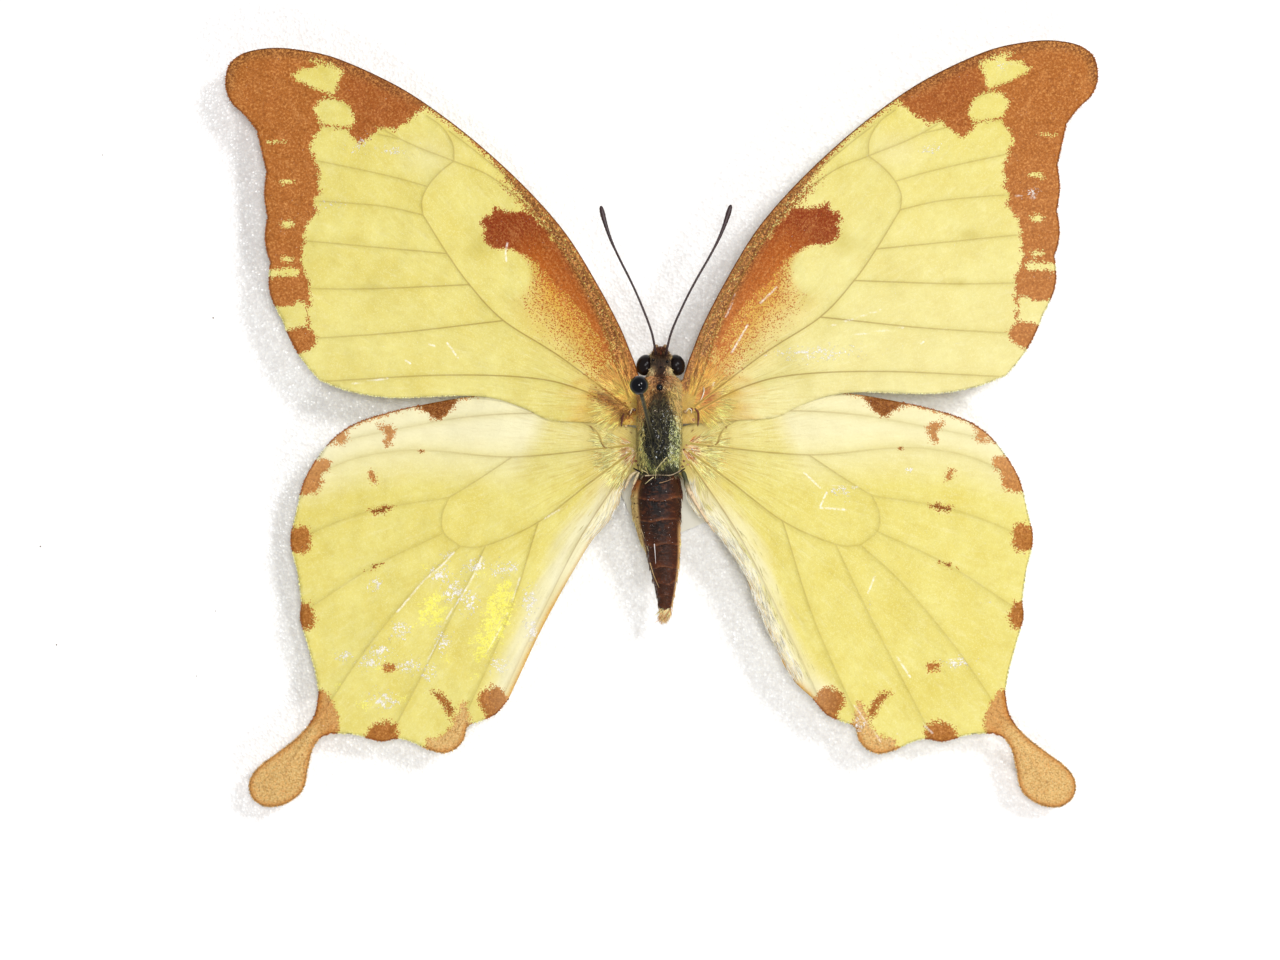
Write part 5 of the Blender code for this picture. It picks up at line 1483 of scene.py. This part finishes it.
# Wing fringes and wing hair: short flat scales along every outer margin, long pale hairs on the
# inner margins of the hindwings, and golden and brown hair spread from the body over the four roots.
AHEAD = 0.2
WING_SAG = 0.7
WING_TONE_CHANCE = 0.13
WING_LIFT_CHANCE = (0.3, 1.5)
PLAN_SHIFT = (2, 42)
PLAN_SIZE = (50, 84)
FRINGE_STEP = 0.10
FRINGE_LENGTH = 0.17
FRINGE_INSET = 0.12
FRINGE_ROOT = 0.07
FRINGE_WIDTH = 0.12
FOLD_FROM = -5.4
FOLD_HAIRS = {"left": (700, -12), "right": (1500, -99)}
ROOT_HAIRS = 1150
ROOT_FIELDS = {
    "fore": (FOREWING, fore_outline, (2.6, 2.0), 4.2, 0.08, (-52, 78), 76),
    "hind": (HINDWING, hind_outline, (2.3, -2.6), 4.4, 0.02, (-62, 26), 75),
}


def grow_on_wing(name, shape, word, roots, rim, headings, length, width, lift, tones, seed):
    """Tufts on a wing at plan points: each follows the set membrane along its heading in the plan."""
    draw = np.random.default_rng(seed)
    mirrored = (SIDES[word], 1)
    here, level = set_wing(roots, shape, word)
    there, ahead = set_wing(roots + AHEAD * headings, shape, word)
    lies = np.column_stack(((there - here) * mirrored, ahead - level))
    lies /= np.linalg.norm(lies, axis=1)[:, None]
    normals = (0, 0, 1) - lies[:, 2:] * lies
    normals /= np.linalg.norm(normals, axis=1)[:, None]
    level = level + swelling(nearest(roots, shape["veins"].values(), VEIN_STEP), rim)
    points = np.column_stack((here * mirrored, level + 0.4 * MEMBRANE))
    count = len(roots)
    tones = tones * draw.normal(1.0, WING_TONE_CHANCE, count)[:, None]
    places = np.clip((roots + PLAN_SHIFT) / PLAN_SIZE, 0, 1)
    make_coat(name, points, normals, lies, length * draw.uniform(*LENGTH_CHANCE, count),
              width * draw.uniform(*WIDTH_CHANCE, count),
              np.radians(lift) * draw.uniform(*WING_LIFT_CHANCE, count), tones, places, WING_SAG, faint_root_shade_hair)


def make_fringe(name, shape, word, outline, marks, seed):
    """Fringe scales standing out from a margin in the plane of the wing, coloured as the margin is."""
    margin = curve(outline, FRINGE_STEP)
    along = np.gradient(margin, axis=0)
    along /= np.linalg.norm(along, axis=1)[:, None]
    outward = np.column_stack((-along[:, 1], along[:, 0]))
    count = len(margin)
    fields = marks(margin - FRINGE_INSET * outward, np.full(count, FRINGE_INSET), np.full(count, FAR), word)
    tones = over(
        np.tile((238.0, 229.0, 160.0), (count, 1)),
        ((244, 239, 214), fields["pale"]),
        ((170, 102, 50), fields["brown"] > 0.5),
        ((206, 164, 104), fields["tan"] > 0.1),
    )
    headings = turned(outward, np.random.default_rng(seed).normal(0, 0.25, count))
    roots = margin - FRINGE_ROOT * outward
    grow_on_wing(name, shape, word, roots, 0, headings, FRINGE_LENGTH, FRINGE_WIDTH, 3, tones, seed)


def fold_hairs(word, draw):
    """Long pale hairs along the inner margin of a hindwing, thinning out away from it."""
    count, last = FOLD_HAIRS[word]
    fold = curve(HINDWING["rear"][word][1:-1], 0.05)
    which = draw.integers(2, len(fold) - 2, count)
    which = which[(fold[which, 1] < FOLD_FROM) & (fold[which, 1] > last)]
    along = fold[which - 2] - fold[which + 2]
    along /= np.linalg.norm(along, axis=1)[:, None]
    depth = np.abs(draw.normal(0, 0.9, len(which)))
    roots = fold[which] + np.column_stack((-along[:, 1], along[:, 0])) * depth[:, None]
    headings = turned(along, -0.04 - draw.normal(0, 0.08, len(which)))
    tones = over(
        np.tile((240.0, 235.0, 214.0), (len(roots), 1)),
        ((214, 184, 130), draw.random(len(roots)) < 0.08),
        ((228, 216, 146), depth > 1.2),
    )
    grow_on_wing("hair_fold_" + word, HINDWING, word, roots, depth, headings, 1.1, 0.036, 4, tones, 74)


def root_tones(pair, side, roots, away, draw):
    """Display colours of the hair on a wing's root: gold and amber in front, pale cream behind."""
    if pair == "fore":
        swirl = bell(distance(roots, np.array(FORE_SWIRL)), 0.5)
        return over(
            np.tile((250.0, 202.0, 100.0), (len(roots), 1)),
            ((255, 232, 140), share_of(away - 2.4, 1.0)),
            ((228, 148, 66), 0.7 * share_of(roots[:, 1] - 3.8, 0.5)),
            ((128, 84, 40), (side < 0) * 0.9 * swirl),
            ((200, 126, 74), (side > 0) * 1.1 * spot(roots, 4.2, 2.3, 1.0, 0.8)),
        )
    return over(
        np.tile((252.0, 238.0, 156.0), (len(roots), 1)),
        ((255, 226, 176), share_of(1.6 - away, 0.6)),
        ((214, 176, 96), draw.random(len(roots)) < 0.15),
        ((190, 118, 62), (away < 1.6) & (draw.random(len(roots)) < 0.45)),
    )


fore_margin = np.vstack((
    curve(FOREWING["front"][15:], EDGE_STEP)[:-1],
    lobed(FOREWING["lobes"], FOREWING["lobe_rise"], EDGE_STEP),
    curve(FOREWING["rear"][:4], EDGE_STEP),
))
hind_margin = np.vstack((
    curve(HINDWING["front"][5:], EDGE_STEP)[:-1],
    curve(HINDWING["tail"], EDGE_STEP)[:-1],
    curve(HINDWING["scallops"], EDGE_STEP),
))
for word, side in SIDES.items():
    make_fringe("fringe_fore_" + word, FOREWING, word, fore_margin, fore_marks, 71)
    make_fringe("fringe_hind_" + word, HINDWING, word, hind_margin, hind_marks, 72)
    draw = np.random.default_rng(73)
    fold_hairs(word, draw)
    for pair, (shape, outline, centre, spread, gap, turns, seed) in ROOT_FIELDS.items():
        away = draw.uniform(gap, 1, ROOT_HAIRS) ** 0.8 * spread
        angle = np.radians(draw.uniform(*turns, ROOT_HAIRS))
        heading = np.column_stack((np.cos(angle), np.sin(angle)))
        roots = np.array(centre) + heading * away[:, None]
        keep = within(roots, outline) & ((pair == "fore") | (roots[:, 1] < -1.1))
        roots, heading, away = roots[keep], heading[keep], away[keep]
        tones = root_tones(pair, side, roots, away, draw)
        rim = distance(roots, outline)
        heading = turned(heading, draw.normal(0, 0.2, len(roots)))
        name = "hair_root_%s_%s" % (pair, word)
        grow_on_wing(name, shape, word, roots, rim, heading, 1.1, 0.05, 6, tones, seed)

# Wing joints: the small horn plates that hinge the wings, amber and dark brown, glossy, with near-white beads
# and curls among them that are painted highlights, and the rolled inner edges of the hindwings.
JOINT_BEADS = (
    ((-3.25, 1.09, 8.55), 0.20, (120, 74, 34)), ((-2.85, 1.30, 8.95), 0.16, (80, 44, 24)),
    # The near-white beads here and on the hind right are painted highlights: glints on the hinge plates laid
    # in as pale colour.
    ((-3.70, -0.35, 8.35), 0.11, (206, 170, 120)), ((-3.66, -3.05, 7.45), 0.11, (222, 204, 176)),
    ((-2.99, -2.85, 7.60), 0.11, (216, 192, 156)), ((-2.70, -3.94, 7.40), 0.13, (122, 72, 46)),
    ((-2.45, -4.35, 7.30), 0.13, (78, 44, 30)), ((-3.05, -4.10, 7.15), 0.10, (180, 132, 100)),
    ((2.36, 1.12, 8.90), 0.20, (150, 118, 72)), ((3.00, 1.35, 8.75), 0.17, (110, 62, 34)),
    ((3.25, 0.30, 8.50), 0.14, (168, 116, 72)), ((2.76, -3.09, 7.50), 0.10, (176, 124, 84)),
    ((2.26, -2.75, 7.65), 0.11, (112, 66, 42)), ((2.52, -2.30, 7.60), 0.09, (164, 108, 70)),
    ((3.10, -2.70, 7.35), 0.09, (226, 210, 190)), ((2.25, -3.94, 7.40), 0.12, (126, 80, 54)),
    ((2.10, -4.50, 7.30), 0.12, (104, 64, 44)), ((2.62, -4.30, 7.15), 0.10, (190, 144, 110)),
)
JOINT_HOOKS = (
    (((-3.95, 0.95, 8.35), (-4.12, 0.26, 8.20), (-4.17, -0.38, 8.05)), 0.12, (84, 36, 20)),
    (((3.35, 1.45, 8.45), (3.68, 1.05, 8.35), (3.72, 0.30, 8.20), (3.66, -0.38, 8.05)), 0.12, (96, 44, 24)),
    (((-2.95, -4.66, 7.30), (-2.55, -4.90, 7.60), (-2.10, -5.15, 7.75)), 0.09, (30, 18, 14)),
    (((2.35, -4.70, 7.35), (1.95, -4.95, 7.60), (1.55, -5.15, 7.80)), 0.09, (36, 22, 16)),
    # These three pale curls are painted highlights along the wing roots.
    (((4.28, 3.65, 8.02), (4.30, 3.20, 8.02), (4.15, 2.70, 8.02), (3.95, 2.30, 8.02)), 0.06, (236, 222, 196)),
    (((2.50, 1.15, 9.05), (2.70, 1.42, 9.10), (2.98, 1.30, 9.00), (3.00, 0.95, 8.95)), 0.06, (220, 206, 176)),
    (((-3.30, 0.85, 8.80), (-3.05, 1.42, 8.95), (-2.80, 1.32, 9.00)), 0.06, (216, 190, 140)),
    (((-0.92, 1.05, 10.42), (-0.70, 1.22, 10.46), (-0.48, 1.02, 10.46)), 0.05, (200, 180, 158)),
    (((-0.30, 1.02, 10.46), (-0.08, 1.22, 10.46), (0.16, 1.05, 10.44)), 0.05, (206, 186, 162)),
)
FOLDS = {
    "left": (((-2.55, -4.95, 7.40), (-3.20, -5.45, 7.10), (-3.60, -6.20, 6.85), (-3.95, -7.05, 6.75)),
             (0.12, 0.16, 0.14, 0.04)),
    "left_inner": (((-2.35, -5.05, 7.60), (-2.62, -5.60, 7.45), (-2.95, -6.40, 7.15), (-3.10, -6.90, 7.00)),
                   (0.10, 0.16, 0.12, 0.04)),
    "right": (((2.15, -5.05, 7.20), (2.37, -5.60, 6.95), (2.61, -6.55, 6.85), (3.07, -7.50, 6.80),
               (3.67, -8.57, 6.76), (4.62, -10.1, 6.72), (5.40, -11.3, 6.68)),
              (0.20, 0.27, 0.24, 0.17, 0.13, 0.10, 0.04)),
}
JOINT_SHAPE = np.array((1.2, 1.0, 0.7))
FOLD_TIPS = {"left": (206, 186, 146), "left_inner": (206, 186, 146), "right": (62, 64, 36)}


def tinted(parts, tones):
    """Several closed parts as one, and the tint of a piece that holds a display colour for each."""
    tones = [np.tile(tone, (len(points), 1)) for (points, _), tone in zip(parts, tones)]
    return *gathered(parts), {"tone": linear(np.vstack(tones))}


def joint_finish():
    """Glossy horn in its own tint."""
    horn = Finish("joint_horn", Roughness=0.22)
    blot = horn.noise(0.0004, 3.0).step(0.5, 0.8)
    return horn.paint(Base_Color=horn.mix(horn.tint("tone"), (30, 16, 12), blot * 0.5))


def fold_finish():
    """Creased skin in its own tint, blotched with brown."""
    skin = Finish("fold_skin", Roughness=0.6)
    blot = skin.noise(0.00035, 3.0).step(0.55, 0.65)
    return skin.paint(Base_Color=skin.mix(skin.tint("tone"), (84, 50, 28), blot * 0.6),
                      Normal=skin.bump(skin.noise(0.0002, 3.0), 0.00003))


parts = [ellipsoid(np.array(centre), radius * JOINT_SHAPE, 16) for centre, radius, _ in JOINT_BEADS]
for route, radius, _ in JOINT_HOOKS:
    path = curve(route, 0.06)
    swell = radius * np.sin(np.pi * np.linspace(0.12, 0.96, len(path))) ** 0.5
    parts.append(tube(path, swell, 8, (0.1, 0.2, 1.0)))
points, faces, tints = tinted(parts, [tone for _, _, tone in JOINT_BEADS + JOINT_HOOKS])
make_piece("wing_joints", points, faces, joint_finish(), (), None, tints)
fold_skin = fold_finish()
for word, (route, widths) in FOLDS.items():
    path = curve(route, 0.07)
    share = np.linspace(0, 1, len(path))
    radii = np.interp(share, np.linspace(0, 1, len(widths)), widths) * (1 + 0.10 * np.sin(share * 40))
    points, faces = tube(path, radii, 14, (0.1, 0.2, 1.0))
    tones = np.tile((214.0, 188.0, 150.0), (len(points), 1))
    tones = over(tones, (FOLD_TIPS[word], share_of(points[:, 1] + 6.4, 0.5)))
    make_piece("fold_" + word, points, faces, fold_skin, (), None, {"tone": linear(tones)})

# Back: a black glossy wart behind the collar, where the pin has rubbed the hair off, with three smaller ones
# on the head, and a few long pale hairs come loose over the waist and the plates. The near-white one on the
# plates is a painted highlight along a ridge.
WARTS = (
    ((-0.26, 3.57, 10.02), 0.36), ((-0.91, 6.42, 8.92), 0.15), ((0.52, 6.24, 8.95), 0.15),
    ((-0.10, 5.68, 9.12), 0.10),
)
LOOSE_HAIRS = (
    (((0.49, -3.54, 10.0), (-0.12, -4.19, 9.85), (-0.60, -4.87, 9.45), (-0.69, -5.79, 8.95)),
     0.045, (226, 210, 150)),
    (((-0.88, -5.58, 8.85), (-1.30, -5.90, 8.85), (-1.76, -6.30, 8.80)), 0.05, (220, 204, 150)),
    (((-1.75, -5.45, 8.35), (-0.40, -5.36, 8.62), (0.90, -5.38, 8.55), (1.90, -4.90, 8.30)),
     0.055, (222, 196, 160)),
    (((-0.30, -6.20, 8.95), (0.45, -6.00, 8.95), (1.20, -5.69, 8.80)), 0.04, (170, 130, 90)),
    # Painted highlight: the glint along a ridge of the abdomen, drawn as a near-white hair.
    (((-0.80, -12.45, 7.72), (-0.72, -13.4, 7.52), (-0.66, -14.5, 7.22)), 0.045, (236, 226, 224)),
    (((-1.24, -14.4, 6.85), (-0.85, -15.7, 6.72), (-0.30, -17.0, 6.45)), 0.045, (196, 160, 104)),
    (((-2.15, -10.9, 7.10), (-1.75, -12.1, 7.00), (-1.40, -13.2, 6.75)), 0.05, (214, 190, 136)),
    (((-2.05, -4.90, 9.00), (-1.60, -5.10, 9.05), (-1.35, -5.42, 8.95)), 0.05, (206, 186, 130)),
)
WART_SHAPE = np.array((1, 1, 0.75))
points, faces = gathered([ellipsoid(np.array(place), size * WART_SHAPE, 24) for place, size in WARTS])
wart = Finish("wart_horn", Roughness=0.08, IOR=1.34, Base_Color=colour(6, 5, 7))
make_piece("back_wart", points, faces, wart.material, ())
parts = []
for route, radius, _ in LOOSE_HAIRS:
    path = curve(route, 0.08)
    parts.append(tube(path, np.linspace(radius, 0.3 * radius, len(path)), 6, (0.1, 0.2, 1.0)))
points, faces, tints = tinted(parts, [tone for _, _, tone in LOOSE_HAIRS])
loose = Finish("loose_hair", Roughness=0.45)
loose_hair = loose.paint(Base_Color=loose.tint("tone"))
make_piece("loose_hairs", points, faces, loose_hair, (), None, tints)

# Floor, light and view: a pale table under the slab, a large soft lamp from the upper right, a small
# one from the lower right, a weak one overhead, white surroundings, and a camera straight above on a
# copy stand.
VIEW_HEIGHT = 0.4652
VIEW_WIDTH = 0.13227
VIEW_DISTANCE = 0.450
LAMPS = (
    ("side_lamp", 0.24, 4.6, (0.50, 0.36, 0.86)),
    ("low_lamp", 0.06, 0.9, (0.26, -0.385, 0.485)),
    ("front_lamp", 0.12, 1.25, (0.02, 0.03, 0.60)),
)
SKY = 0.46
FLOOR_HALF = 3.0
FILM_WIDTH = 36.0


def make_floor():
    """A plain pale table top, level with the slab's underside."""
    half = FLOOR_HALF
    mesh = bpy.data.meshes.new("floor")
    corners = [(-half, -half, 0), (half, -half, 0), (half, half, 0), (-half, half, 0)]
    mesh.from_pydata(corners, [], [(0, 1, 2, 3)])
    floor = bpy.data.objects.new("floor", mesh)
    bpy.context.collection.objects.link(floor)
    paper = Finish("floor_paper", Roughness=0.9)
    mesh.materials.append(paper.paint(Base_Color=colour(226, 226, 224)))


def aim(item, target):
    """Turn a lamp or camera from where it stands to a target."""
    item.rotation_euler = (Vector(target) - item.location).to_track_quat("-Z", "Y").to_euler()


make_floor()
world = bpy.data.worlds.new("surroundings")
world.use_nodes = True
world.node_tree.nodes["Background"].inputs["Color"].default_value = (1.0, 1.0, 1.0, 1.0)
world.node_tree.nodes["Background"].inputs["Strength"].default_value = SKY
bpy.context.scene.world = world
for name, size, power, place in LAMPS:
    lamp = bpy.data.objects.new(name, bpy.data.lights.new(name, "AREA"))
    lamp.data.shape = "DISK"
    lamp.data.size = size
    lamp.data.energy = power
    lamp.location = place
    bpy.context.collection.objects.link(lamp)
    aim(lamp, (0, 0, 0))

camera = bpy.data.objects.new("camera", bpy.data.cameras.new("camera"))
camera.data.sensor_width = FILM_WIDTH
camera.data.lens = FILM_WIDTH * VIEW_DISTANCE / VIEW_WIDTH
camera.data.clip_start = 0.01
camera.location = (0, 0, VIEW_HEIGHT)
bpy.context.collection.objects.link(camera)
bpy.context.scene.camera = camera
bpy.context.scene.view_settings.view_transform = "Standard"
